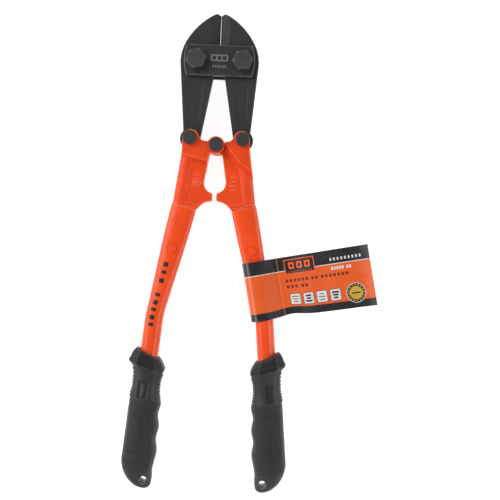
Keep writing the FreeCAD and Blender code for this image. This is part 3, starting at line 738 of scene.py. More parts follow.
# ---- sub-assemblies -----------------------------------------------------------------------
@dataclass
class Studio:
    """Pale floor, soft lights and the camera above the tool."""

    height: float = 0.580
    lens: float = 56.88
    roll: float = math.radians(2.34)
    centre: tuple[float, float] = (0.02775, -0.07505)
    glow: float = 0.90
    floor_size: float = 40.0

    def lamp(self, name: str, place: Point, size: tuple[float, float], power: float) -> None:
        """Add an area light that faces the middle of the tool.

        Args:
            name: The light's name.
            place: Where it stands.
            size: Its width and height.
            power: Its power in watts.
        """
        light = bpy.data.lights.new(name, "AREA")
        light.shape = "RECTANGLE"
        light.size, light.size_y = size
        light.energy = power
        lamp = bpy.data.objects.new(name, light)
        lamp.location = place
        target = Vector((0.0, -0.08, 0.0))
        lamp.rotation_mode = "QUATERNION"
        lamp.rotation_quaternion = (Vector(place) - target).to_track_quat("Z", "Y")
        bpy.context.scene.collection.objects.link(lamp)

    def floor(self) -> None:
        """Lay the floor just under the tool."""
        half = self.floor_size / 2
        sheet = NodeSheet("studio_floor")
        tint = sheet.mix(sheet.noise(2.0, 2.0), (0.38, 0.38, 0.38), (0.42, 0.42, 0.42))
        material = sheet.paint(Base_Color=tint, Roughness=0.9, Specular_IOR_Level=0.1,
                               Emission_Color=(1.0, 1.0, 1.0, 1.0), Emission_Strength=self.glow)
        corners = [(-half, -half, 0.0), (half, -half, 0.0), (half, half, 0.0), (-half, half, 0.0)]
        floor = new_piece("studio_floor", corners, [(0, 1, 2, 3)], material)
        floor.location.z = CAD_LOW.z - 0.0002

    def camera(self) -> None:
        """Hang the camera over the tool, looking straight down."""
        data = bpy.data.cameras.new("camera")
        data.lens, data.sensor_width = self.lens, 36.0
        data.clip_start, data.clip_end = 0.01, 100.0
        camera = bpy.data.objects.new("camera", data)
        middle = joint_place("handles_open").z
        camera.location = (*self.centre, middle + self.height)
        camera.rotation_euler = (0.0, 0.0, self.roll)
        bpy.context.scene.collection.objects.link(camera)
        bpy.context.scene.camera = camera

    def build(self) -> None:
        """Set up the whole studio."""
        world = bpy.data.worlds.new("studio_air")
        bpy.context.scene.world = world
        world.use_nodes = True
        air = world.node_tree.nodes["Background"]
        air.inputs["Color"].default_value = (1.0, 1.0, 1.0, 1.0)
        air.inputs["Strength"].default_value = 0.16
        self.lamp("key_left", (-0.85, 0.55, 0.85), (0.7, 0.7), 9.0)
        self.lamp("strip_left", (-1.1, -0.25, 0.55), (1.5, 0.5), 7.0)
        self.lamp("strip_right", (1.1, -0.2, 0.55), (1.5, 0.5), 8.0)
        self.lamp("foot", (0.1, -1.3, 0.8), (1.2, 0.6), 5.0)
        self.lamp("crown", (0.1, 1.2, 0.7), (1.2, 0.5), 2.5)
        self.floor()
        self.camera()
        bpy.context.scene.view_settings.view_transform = "Standard"


@dataclass
class HandleLine:
    """The line of one handle: a straight upper run, a bend and a straight lower run."""

    upper_angle: float = math.radians(12.9)
    lower_angle: float = math.radians(5.5)
    upper_length: float = 82.6 * MM
    lower_length: float = 110.0 * MM
    bend_radius: float = 90.0 * MM
    grip_top: float = 28.3 * MM
    hole_distance: float = 91.6 * MM
    hole_offset: float = 8.4 * MM

    def along(self, angle: float) -> Vector:
        """Unit vector down the handle for a right-hand run at an angle off the centre line."""
        return Vector((math.sin(angle), -math.cos(angle), 0.0))

    def across(self, angle: float) -> Vector:
        """Unit vector outwards, square to the run."""
        return Vector((math.cos(angle), math.sin(angle), 0.0))

    @property
    def grip_origin(self) -> Vector:
        """The grip's top on the tube's axis, from the right hanging hole's place."""
        hole = mount_place("right_hanging_hole")
        down, out = self.along(self.lower_angle), self.across(self.lower_angle)
        return hole - down * self.hole_distance + out * self.hole_offset

    @property
    def corner(self) -> Vector:
        """Where the two straight runs would meet."""
        return self.grip_origin - self.along(self.lower_angle) * self.grip_top

    @property
    def start(self) -> Vector:
        """The tube's upper end, at the casting's shoulder."""
        return self.corner - self.along(self.upper_angle) * self.upper_length

    def spot(self, distance: float) -> tuple[Vector, float]:
        """Find a place on the line.

        Args:
            distance: How far down from the tube's start, measured along both straight runs.

        Returns:
            The point and the run's angle there.
        """
        turn = self.upper_angle - self.lower_angle
        cut = self.bend_radius * math.tan(turn / 2)
        beyond = distance - self.upper_length
        if beyond <= -cut:
            return self.start + self.along(self.upper_angle) * distance, self.upper_angle
        if beyond >= cut:
            return self.corner + self.along(self.lower_angle) * beyond, self.lower_angle
        share = (beyond + cut) / (2 * cut)
        angle = self.upper_angle - turn * share
        first = self.corner - self.along(self.upper_angle) * cut
        centre = first - self.across(self.upper_angle) * self.bend_radius
        return centre + self.across(angle) * self.bend_radius, angle


@dataclass
class HandleTubes:
    """Two steel tubes, flattened where they hold the castings, with a crimp at the rivet."""

    line: HandleLine
    diameter: float = 13.4 * MM
    flat_width: float = 18.6 * MM
    flat_thickness: float = 7.9 * MM
    wall: float = 1.5 * MM
    columns: int = 72
    step: float = 1.0 * MM
    rivet_distance: float = 32.6 * MM
    dimple_length: float = 4.6 * MM
    dimple_width: float = 3.4 * MM
    dimple_depth: float = 0.42 * MM
    print_height: float = 3.7 * MM
    print_offset: float = 1.2 * MM
    print_groups: tuple[tuple[float, float, int], ...] = ((43.4, 6.1, 3), (66.4, 5.5, 5))
    print_lengths: tuple[float, float] = (3.2 * MM, 2.5 * MM)
    ink_lift: float = 0.03 * MM
    ink_depth: float = 0.05 * MM
    ink_cells: int = 8

    def section(self, distance: float) -> tuple[float, float]:
        """Half width and half thickness of the outside.

        Args:
            distance: How far down the tube.

        Returns:
            Half the width and half the thickness.
        """
        turn = self.line.upper_angle - self.line.lower_angle
        reach = self.line.upper_length - self.line.bend_radius * math.tan(turn / 2)
        share = min(max(distance / reach, 0.0), 1.0)
        blend = 0.5 * (share * share + share * share * (3 - 2 * share))
        wide = self.flat_width + (self.diameter - self.flat_width) * blend
        deep = self.flat_thickness + (self.diameter - self.flat_thickness) * blend
        return wide / 2, deep / 2

    def skin(self, distance: float, turn: float, lift: float, side: Side) -> Vector:
        """A point of the tube's surface.

        Args:
            distance: How far down the tube.
            turn: Angle around the section, from outwards through the front.
            lift: Height above the surface.
            side: Which handle.

        Returns:
            The point in the row frame.
        """
        centre, angle = self.line.spot(distance)
        half_wide, half_deep = self.section(distance)
        near = (distance - self.rivet_distance) / self.dimple_length
        beside = half_wide * math.cos(turn) / self.dimple_width
        dent = self.dimple_depth * math.exp(-near * near - beside * beside)
        normal = Vector((math.cos(turn) / half_wide, math.sin(turn) / half_deep)).normalized()
        out = half_wide * math.cos(turn) + lift * normal.x
        rise = half_deep * math.sin(turn) + lift * normal.y
        rise -= math.copysign(dent, rise) if lift >= 0 else 0.0
        place = centre + self.line.across(angle) * out + Vector((0, 0, rise))
        return Vector((place.x * side.value, place.y, place.z))

    def tube(self, side: Side, finish: bpy.types.Material) -> bpy.types.Object:
        """Build one tube with its outer and inner walls.

        Args:
            side: Which handle.
            finish: The tube's paint.

        Returns:
            The piece.
        """
        total = self.line.upper_length + self.line.lower_length
        count = int(total / self.step)
        stations = [total * number / count for number in range(count + 1)]
        turns = [2 * math.pi * number / self.columns for number in range(self.columns)]
        outer = [[self.skin(d, t, 0.0, side) for t in turns] for d in stations]
        inner = [[self.skin(d, t, -self.wall, side) for t in turns] for d in stations[::-3]]
        piece = sweep_piece(f"{side.word}_tube", outer + inner, True, finish)
        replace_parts(piece, f"{side.word}_handle_tube")
        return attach(piece, f"{side.word}_handle")

    def printing(self, finish: bpy.types.Material) -> bpy.types.Object:
        """Lay two groups of plain printed blocks along the front of the left tube.

        Args:
            finish: The ink.

        Returns:
            The piece.
        """
        points: list[Point] = []
        faces: list[tuple[int, ...]] = []
        starts = [first + pitch * number for first, pitch, count in self.print_groups
                  for number in range(count)]
        cells = self.ink_cells
        for number, start in enumerate(starts):
            length = self.print_lengths[number % 2]
            for level in (self.ink_lift, self.ink_lift + self.ink_depth):
                for row in range(cells + 1):
                    distance = start * MM + length * row / cells
                    half_wide = self.section(distance)[0]
                    for column in range(cells + 1):
                        offset = self.print_offset
                        offset += self.print_height * (column / cells - 0.5)
                        turn = math.acos(offset / half_wide)
                        points.append(tuple(self.skin(distance, turn, level, Side.LEFT)))
            faces += self.block_faces(len(points) - 2 * (cells + 1) ** 2, cells)
        piece = new_piece("left_tube_print", points, faces, finish)
        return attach(piece, "left_handle")

    def block_faces(self, first: int, cells: int) -> list[tuple[int, ...]]:
        """Faces of a closed slab made of two square grids.

        Args:
            first: Number of the lower grid's first point.
            cells: Cells along each side.

        Returns:
            The faces.
        """
        row, layer = cells + 1, (cells + 1) ** 2
        faces: list[tuple[int, ...]] = []
        for base in (first, first + layer):
            for a in range(cells):
                for b in range(cells):
                    spot = base + a * row + b
                    faces.append((spot, spot + 1, spot + row + 1, spot + row))
        rim = [first + b for b in range(cells)]
        rim += [first + a * row + cells for a in range(cells)]
        rim += [first + cells * row + cells - b for b in range(cells)]
        rim += [first + (cells - a) * row for a in range(cells)]
        for here, after in zip(rim, rim[1:] + rim[:1]):
            faces.append((here, after, after + layer, here + layer))
        return faces

    def build(self, enamel: bpy.types.Material, ink: bpy.types.Material) -> None:
        """Build both tubes and the print on the left one.

        Args:
            enamel: The tubes' paint.
            ink: The print.
        """
        for side in Side:
            LOG.info("built %s", self.tube(side, enamel).name)
            NODES[f"{side.word}_tube_rivet"].data.materials.clear()
            NODES[f"{side.word}_tube_rivet"].data.materials.append(enamel)
        LOG.info("built %s", self.printing(ink).name)


@dataclass(frozen=True)
class GripStation:
    """A section of the grip, in millimetres down it, with its sides and its slant."""

    down: float
    finger: float
    palm: float
    deep: float
    slant: float = 0.0


@dataclass
class Grips:
    """Moulded grips with a slanted collar, side ribs, a window, a knurled panel and a hole."""

    line: HandleLine
    rows: int = 330
    columns: int = 216
    square: float = 2.35
    bore: float = 6.74
    hole_radius: float = 2.9
    finger_first: float = 35.7
    finger_pitch: float = 17.6
    rib_pitch: float = 2.3
    rib_depth: float = 0.8
    knurl_pitch: float = 3.0
    knurl_depth: float = 0.7
    facet: float = 1.5
    ribbed: tuple[float, float] = (12.5, 33.5)
    knurled: tuple[float, float] = (33.5, 85.5)
    collar_end: tuple[float, float] = (9.5, 14.0)
    window_depth: float = 1.1
    window_spot: tuple[float, float, float, float] = (26.0, 0.4, 6.0, 3.4)
    tab_rise: float = 0.8
    tab_spot: tuple[float, float, float, float] = (26.8, 0.9, 4.6, 1.5)
    pad_ease: float = 0.6

    def stations(self) -> list[GripStation]:
        """The grip's sections from its rim to its end.

        Returns:
            The stations in order.
        """
        row = [GripStation(0.3, 7.9, 9.4, 8.4, 0.325), GripStation(0.8, 8.3, 9.9, 8.8, 0.315)]
        row += [GripStation(7.4, 12.3, 13.2, 11.1, 0.2), GripStation(7.8, 12.5, 13.4, 11.3, 0.2)]
        row += [GripStation(9.9, 12.5, 13.1, 11.3, 0.2), GripStation(10.4, 12.2, 12.2, 10.8, 0.19)]
        row += [GripStation(13.4, 11.7, 10.1, 10.2, 0.14), GripStation(20, 10.7, 8.9, 9.7)]
        row += [GripStation(25.5, 10.7, 8.8, 9.7), GripStation(31, 11.6, 9.5, 10.3)]
        for number in range(3):
            peak = self.finger_first + self.finger_pitch * number
            lean = 0.85 * number
            row += [GripStation(peak, 13.3 + lean, 9.75, 11.0)]
            row += [GripStation(peak + 0.5 * self.finger_pitch, 12.4 + lean, 9.8, 11.0)]
        row += [GripStation(85.0, 13.6, 8.4, 10.6), GripStation(90.5, 14.1, 5.5, 9.6)]
        row += [GripStation(94.6, 14.0, 1.6, 8.0), GripStation(97.2, 12.9, -2.4, 5.8)]
        return row + [GripStation(98.4, 11.2, -5.4, 3.2)]

    def blend(self, downs: np.ndarray) -> tuple[np.ndarray, ...]:
        """Run smooth curves through the stations.

        Args:
            downs: Distances down the grip, in millimetres.

        Returns:
            Finger side, palm side, half thickness and slant at each distance.
        """
        knots = self.stations()
        places = np.array([s.down for s in knots])
        curves = []
        for name in ("finger", "palm", "deep", "slant"):
            values = np.array([getattr(s, name) for s in knots], float)
            slopes = np.gradient(values, places)
            index = np.clip(np.searchsorted(places, downs, side="right") - 1, 0, len(knots) - 2)
            span = places[index + 1] - places[index]
            t = np.clip((downs - places[index]) / span, 0.0, 1.0)
            rise = values[index + 1] - values[index]
            limit = 3 * np.abs(rise / span)
            first = np.clip(slopes[index], -limit, limit)
            last = np.clip(slopes[index + 1], -limit, limit)
            cubic = values[index] + t * t * (3 - 2 * t) * rise
            cubic += span * t * (1 - t) * ((1 - t) * first - t * last)
            curves.append(cubic)
        return tuple(curves)

    def relief(self, down: np.ndarray, across: np.ndarray, turn: np.ndarray) -> np.ndarray:
        """Height of the moulded detail.

        Args:
            down: Distances down the grip, in millimetres.
            across: Distances outwards from the grip's middle line, in millimetres.
            turn: Angles around the section.

        Returns:
            Heights above the plain surface, in millimetres.
        """
        flank = np.abs(np.cos(turn))
        face = np.abs(np.sin(turn))
        first, last = self.ribbed
        zone = smooth_step(first, first + 1.5, down) * (1 - smooth_step(last - 1.5, last, down))
        ribs = self.rib_depth * (0.5 + 0.5 * np.cos(2 * math.pi * down / self.rib_pitch))
        height = ribs * zone * smooth_step(0.72, 0.86, flank)
        first, last = self.knurled
        panel = smooth_step(first, first + 1.3, down) * (1 - smooth_step(last - 1.5, last, down))
        panel *= smooth_step(0.62, 0.70, face)
        diagonal = 2 * math.pi / self.knurl_pitch
        weave = np.cos(diagonal * (down + across)) * np.cos(diagonal * (down - across))
        height += panel * self.knurl_depth * (np.abs(weave) ** 0.7 - 0.93)
        return height - self.window_depth * self.window(down, across, turn)

    def window(self, down: np.ndarray, across: np.ndarray, turn: np.ndarray) -> np.ndarray:
        """Cover of the sunk window on the front.

        Args:
            down: Distances down the grip.
            across: Distances outwards.
            turn: Angles around the section.

        Returns:
            1 in the window and 0 elsewhere.
        """
        return self.pad(down, across, *self.window_spot) * (np.sin(turn) > 0.5)

    def tab(self, down: np.ndarray, across: np.ndarray, turn: np.ndarray) -> np.ndarray:
        """Cover of the raised tab in the front window.

        Args:
            down: Distances down the grip.
            across: Distances outwards.
            turn: Angles around the section.

        Returns:
            1 on the tab and 0 elsewhere.
        """
        return self.pad(down, across, *self.tab_spot) * (np.sin(turn) > 0.5)

    def zones(self, down: np.ndarray, across: np.ndarray, turn: np.ndarray,
              side: Side) -> np.ndarray:
        """Where the mould is polished and dark, and where the left grip's tab is pale.

        Args:
            down: Distances down the grip.
            across: Distances outwards.
            turn: Angles around the section.
            side: Which handle.

        Returns:
            1 where polished, -1 on the tab and 0 elsewhere.
        """
        face = smooth_step(0.55, 0.6, np.abs(np.sin(turn)))
        band = smooth_step(1.4, 1.6, down) * (1 - smooth_step(9.7, 10.0, down)) * face
        window = self.window(down, across, turn)
        tab = self.tab(down, across, turn) * (side is Side.LEFT)
        return band + 0.6 * window * (1 - tab) - 0.6 * tab

    def pad(self, down: np.ndarray, across: np.ndarray, middle: float, offset: float,
            half_long: float, half_wide: float) -> np.ndarray:
        """Cover of a soft-edged rectangle on the grip's face.

        Args:
            down: Distances down the grip.
            across: Distances outwards.
            middle: The rectangle's place down the grip.
            offset: Its place outwards.
            half_long: Half its length.
            half_wide: Half its width.

        Returns:
            1 inside and 0 outside.
        """
        ease = self.pad_ease
        long_way = 1 - smooth_step(half_long - ease, half_long + ease, np.abs(down - middle))
        wide_way = 1 - smooth_step(half_wide - ease, half_wide + ease, np.abs(across - offset))
        return long_way * wide_way

    def outer_rings(self, side: Side) -> tuple[np.ndarray, np.ndarray]:
        """Points of the outside in the grip's own millimetres.

        Args:
            side: Which handle.

        Returns:
            An array of rows, columns and (down, out, rise), and each point's zone.
        """
        knots = self.stations()
        downs = np.linspace(knots[0].down, knots[-1].down, self.rows)
        finger, palm, deep, slant = self.blend(downs)
        turn = np.linspace(0, 2 * math.pi, self.columns, endpoint=False)[None, :]
        power = 2 / self.square
        middle = ((palm - finger) / 2)[:, None]
        half = ((palm + finger) / 2)[:, None]
        cosine, sine = np.cos(turn), np.sin(turn)
        flat = 1 / np.maximum(np.maximum(np.abs(cosine), np.abs(sine)),
                              (np.abs(cosine) + np.abs(sine)) / self.facet)
        share = 1 - smooth_step(*self.collar_end, downs)[:, None]
        out = np.sign(cosine) * np.abs(cosine) ** power
        out = out + share * (flat * cosine - out)
        rise = np.sign(sine) * np.abs(sine) ** power
        rise = rise + share * (flat * sine - rise)
        plain_out = middle + half * out
        down = np.repeat(downs[:, None], self.columns, 1)
        turn = np.repeat(turn, self.rows, 0)
        height = self.relief(down, plain_out, turn)
        if side is Side.LEFT:
            height += self.tab_rise * self.tab(down, plain_out, turn)
        length = np.hypot(cosine, sine)
        across = plain_out + height * cosine / length
        up = deep[:, None] * rise + height * sine / length
        spots = np.stack([down - slant[:, None] * across, across, up], axis=-1)
        return spots, self.zones(down, plain_out, turn, side)

    def bore_rings(self) -> np.ndarray:
        """Points of the bore from the rim down to the tube's end.

        Returns:
            An array of rows, columns and (down, out, rise).
        """
        turn = np.linspace(0, 2 * math.pi, self.columns, endpoint=False)
        out, rise = self.bore * np.cos(turn), self.bore * np.sin(turn)
        rim = self.stations()[0]
        end = (self.line.lower_length - self.line.grip_top) / MM
        rings = [np.stack([rim.down - rim.slant * out, out, rise], axis=-1)]
        rings += [np.stack([np.full_like(out, end), out, rise], axis=-1)]
        return np.array(rings)

    def grip(self, side: Side, finish: bpy.types.Material) -> bpy.types.Object:
        """Build one grip and drill its hanging hole.

        Args:
            side: Which handle.
            finish: The grip's plastic.

        Returns:
            The piece.
        """
        outside, zones = self.outer_rings(side)
        rings = np.concatenate([outside[::-1], self.bore_rings()])
        angle = self.line.lower_angle
        down = np.array(self.line.along(angle))
        out = np.array(self.line.across(angle))
        origin = np.array(self.line.grip_origin)
        place = origin + MM * (rings[..., :1] * down + rings[..., 1:2] * out)
        place[..., 2] += MM * rings[..., 2]
        place[..., 0] *= side.value
        piece = sweep_piece(f"{side.word}_grip_moulding", place.tolist(), False, finish)
        zone = np.zeros(len(piece.data.vertices), np.float32)
        zone[:zones.size] = zones[::-1].ravel()
        piece.data.attributes.new("zone", "FLOAT", "POINT").data.foreach_set("value", zone)
        hole = mount_place(f"{side.word}_hanging_hole")
        self.drill(piece, hole)
        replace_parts(piece, f"{side.word}_grip")
        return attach(piece, f"{side.word}_handle")

    def drill(self, piece: bpy.types.Object, hole: Vector) -> None:
        """Cut the hanging hole with eased rims, and mark its wall for pale painted light.

        Args:
            piece: The grip.
            hole: The hole's middle.
        """
        profile = [(-16.0, self.hole_radius + 9.0), (-7.6, self.hole_radius + 0.6)]
        profile += [(-6.6, self.hole_radius), (6.6, self.hole_radius)]
        profile += [(7.6, self.hole_radius + 0.6), (16.0, self.hole_radius + 9.0)]
        rings = []
        for height, radius in profile:
            ring = []
            for number in range(48):
                turn = 2 * math.pi * number / 48
                spot = Vector((radius * math.cos(turn), radius * math.sin(turn), height))
                ring.append(hole + spot * MM)
            rings.append(ring)
        cutter = sweep_piece("cutter", rings, False, piece.data.materials[0])
        cut = piece.modifiers.new("drill", "BOOLEAN")
        cut.operation, cut.solver, cut.object = "DIFFERENCE", "EXACT", cutter
        settle(piece)
        bpy.data.objects.remove(cutter)
        # The hole's wall is marked zone -3, which the plastic paints pale grey: painted light against the shade
        # inside the hole.
        reach = self.hole_radius * 1.03 * MM
        zone = piece.data.attributes["zone"]
        for vertex in piece.data.vertices:
            if (vertex.co - hole).xy.length < reach:
                zone.data[vertex.index].value = -3.0

    def build(self, finish: bpy.types.Material) -> None:
        """Build both grips.

        Args:
            finish: The grips' plastic.
        """
        for side in Side:
            LOG.info("built %s", self.grip(side, finish).name)


@dataclass
class HandleHeads:
    """The two castings, with softened edges and plain raised foundry marks."""

    soft: SoftCopy = SoftCopy(0.36 * MM, 3)
    web_half: float = 4.5 * MM
    mark_rise: float = 0.45 * MM
    panel_depth: float = 0.8 * MM
    mark_lean: float = math.radians(9)
    left_spot: tuple[float, float] = (12.6 * MM, -27.0 * MM)
    right_spot: tuple[float, float] = (14.2 * MM, -27.5 * MM)

    def mark(self, place: Vector, half: tuple[float, float], lean: float) -> bpy.types.Object:
        """Make one raised bar.

        Args:
            place: Its middle.
            half: Half its width and length, in millimetres.
            lean: Its turn, in radians.

        Returns:
            A closed block.
        """
        size = Vector((half[0] * MM, half[1] * MM, self.mark_rise))
        material = bpy.data.materials.get("enamel_cast")
        return new_piece("mark", box_points(place, size, lean), BOX_FACES, material)

    def ring(self, place: Vector, radius: float) -> bpy.types.Object:
        """Make one raised ring.

        Args:
            place: Its middle.
            radius: Its radius, in millimetres.

        Returns:
            A closed ring.
        """
        rings = []
        for number in range(28):
            turn = 2 * math.pi * number / 28
            out = Vector((math.cos(turn), math.sin(turn), 0))
            corners = []
            for beside, rise in ((-0.45, -1), (0.45, -1), (0.45, 1), (-0.45, 1)):
                spot = place + out * (radius + beside) * MM
                corners.append(spot + Vector((0, 0, rise * self.mark_rise)))
            rings.append(corners)
        material = bpy.data.materials.get("enamel_cast")
        return sweep_piece("ring", rings, True, material)

    def marks(self, side: Side) -> list[bpy.types.Object]:
        """Foundry marks on the front panel of one casting.

        Args:
            side: Which casting.

        Returns:
            Closed blocks to melt into it.
        """
        pivot = joint_place("handles_open")
        floor = pivot.z + self.web_half - self.panel_depth
        lean = side.value * self.mark_lean
        across, down = self.left_spot if side is Side.LEFT else self.right_spot
        middle = Vector((side.value * across, down, floor))
        middle += Vector((pivot.x, pivot.y, 0))
        made = []
        if side is Side.LEFT:
            made.append(self.ring(middle, 2.6))
            made.append(self.mark(middle, (0.45, 1.2), lean))
            made.append(self.mark(middle + Vector((0, 5.2 * MM, 0)), (1.9, 0.42), lean))
        else:
            for number, half in enumerate((1.9, 1.2, 1.9, 1.5)):
                place = middle + Vector((-0.4 * number, 5.0 - 3.2 * number, 0)) * MM
                made.append(self.mark(place, (half, 0.45), lean))
        return made

    def build(self, finish: bpy.types.Material) -> None:
        """Build both castings.

        Args:
            finish: The castings' paint.
        """
        for side in Side:
            node = f"{side.word}_handle_head"
            piece = self.soft.make(node, f"{side.word}_casting", finish, self.marks(side))
            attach(piece, f"{side.word}_handle")
            LOG.info("built %s", piece.name)


@dataclass
class Jaws:
    """The two forged jaws, with softened forging edges and plain raised ticks."""

    soft: SoftCopy = SoftCopy(0.28 * MM, 4, 1.2 * MM)
    half_thickness: float = 3.95 * MM
    panel_depth: float = 0.5 * MM
    tick_sizes: tuple[Point, ...] = ((0.4, 1.7, 0.4), (-0.7, 0.45, 1.1), (0.9, 1.5, 0.45),
                                     (0.2, 1.9, 0.4), (-0.6, 0.5, 1.0), (0.8, 1.4, 0.5))
    tick_rise: float = 0.22 * MM

    def ticks(self, side: Side, finish: bpy.types.Material) -> list[bpy.types.Object]:
        """Raised plain ticks down the leg's front panel.

        Args:
            side: Which jaw.
            finish: The jaw's steel.

        Returns:
            Closed blocks to melt into it.
        """
        top = joint_place("left_jaw_pivot")
        tail = joint_place("left_link_pivot")
        floor = top.z + self.half_thickness - self.panel_depth
        made = []
        for number, (offset, wide, long) in enumerate(self.tick_sizes):
            place = top.lerp(tail, 0.37 + 0.075 * number)
            middle = Vector(((offset * MM - place.x) * side.value, place.y, floor))
            half = Vector((wide * MM, long * MM, self.tick_rise))
            corners = box_points(middle, half, math.radians(-7) * side.value)
            made.append(new_piece("tick", corners, BOX_FACES, finish))
        return made

    def build(self, finish: bpy.types.Material) -> None:
        """Build both jaws.

        Args:
            finish: The jaws' steel.
        """
        for side in Side:
            node = f"{side.word}_jaw"
            piece = self.soft.make(node, f"{side.word}_jaw_forging", finish,
                                   self.ticks(side, finish))
            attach(piece, node)
            LOG.info("built %s", piece.name)


def rounded_slab(centre: Vector, half: tuple[float, float], corner: float,
                 depth: float) -> tuple[list[Point], list[tuple[int, ...]]]:
    """Outline a thin slab with round corners, lying flat.

    Args:
        centre: Middle of its lower face.
        half: Half its size across X and Y.
        corner: Its corners' radius.
        depth: Its thickness.

    Returns:
        Its points and faces.
    """
    ring = []
    for number in range(24):
        turn = 2 * math.pi * (number + 0.5) / 24
        x = math.copysign(half[0] - corner, math.cos(turn)) + corner * math.cos(turn)
        y = math.copysign(half[1] - corner, math.sin(turn)) + corner * math.sin(turn)
        ring.append((centre.x + x, centre.y + y))
    points = [(x, y, centre.z + z) for z in (0.0, depth) for x, y in ring]
    faces: list[tuple[int, ...]] = list(ring_faces(2, 24))
    return points, faces + [tuple(range(24)), tuple(range(24, 48))]


@dataclass
class Badge:
    """Plain paint marks on the front plate: a pale panel, dark blocks and a row of ticks."""

    middle_y: float = 63.1 * MM
    panel: tuple[float, float] = (6.4 * MM, 2.5 * MM)
    film: float = 0.03 * MM
    ticks_drop: float = 6.1 * MM
    pad_rise: float = 0.25 * MM
    lift: float = 0.02 * MM
    block_half: tuple[float, float] = (1.35 * MM, 1.5 * MM)
    block_pitch: float = 3.7 * MM
    block_lift: float = 0.04 * MM
    tick_halves: tuple[float, float] = (1.1 * MM, 0.9 * MM)
    tick_half_width: float = 0.42 * MM
    tick_pitch: float = 1.75 * MM

    def marks(self, name: str, spots: Sequence[tuple[Vector, tuple[float, float], float]],
              finish: bpy.types.Material) -> None:
        """Build one piece of flat marks.

        Args:
            name: The piece's name.
            spots: Middle, half sizes and corner radius of each mark.
            finish: The paint.
        """
        points: list[Point] = []
        faces: list[tuple[int, ...]] = []
        for centre, half, corner in spots:
            more, sides = rounded_slab(centre, half, corner, self.film)
            faces += [tuple(len(points) + index for index in side) for side in sides]
            points += more
        piece = new_piece(name, points, faces, finish)
        piece.data.shade_flat()
        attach(piece, "head_plates")
        LOG.info("built %s", name)

    def build(self, pale: bpy.types.Material, dark: bpy.types.Material) -> None:
        """Build the marks.

        Args:
            pale: Pale paint.
            dark: Dark paint.
        """
        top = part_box("front_plate")[1].z + self.lift
        middle = Vector((0.0, self.middle_y, top))
        blocks = []
        for step in (-1, 0, 1):
            spot = middle + Vector((self.block_pitch * step, 0.0, self.block_lift))
            blocks.append((spot, self.block_half, 0.5 * MM))
        ticks = []
        for step in range(6):
            across = (step - 2.5) * self.tick_pitch
            drop = Vector((across, -self.ticks_drop, -self.pad_rise))
            half = (self.tick_half_width, self.tick_halves[step % 2])
            ticks.append((middle + drop, half, 0.2 * MM))
        self.marks("badge_panel", [(middle, self.panel, 0.9 * MM)] + ticks, pale)
        self.marks("badge_blocks", blocks, dark)


@dataclass
class Hardware:
    """Side plates, bolts, washers and nuts, which keep their CAD shapes."""

    def dress(self, node: str, finish: bpy.types.Material) -> None:
        """Give a CAD node its finish.

        Args:
            node: The CAD node.
            finish: Its material.
        """
        piece = NODES[node]
        piece.data.materials.clear()
        piece.data.materials.append(finish)
        LOG.info("dressed %s", node)

    def build(self, finishes: dict[str, bpy.types.Material]) -> None:
        """Dress every plate and fastener.

        Args:
            finishes: A material for each kind of node, by the last word of its name.
        """
        for node, piece in NODES.items():
            kind = "link_bolt" if node in PIVOT_BOLTS else node.rsplit("_", 1)[-1]
            if kind in finishes and not piece.hide_render:
                self.dress(node, finishes[kind])


PIVOT_BOLTS = ("left_link_bolt", "centre_bolt", "right_link_bolt")


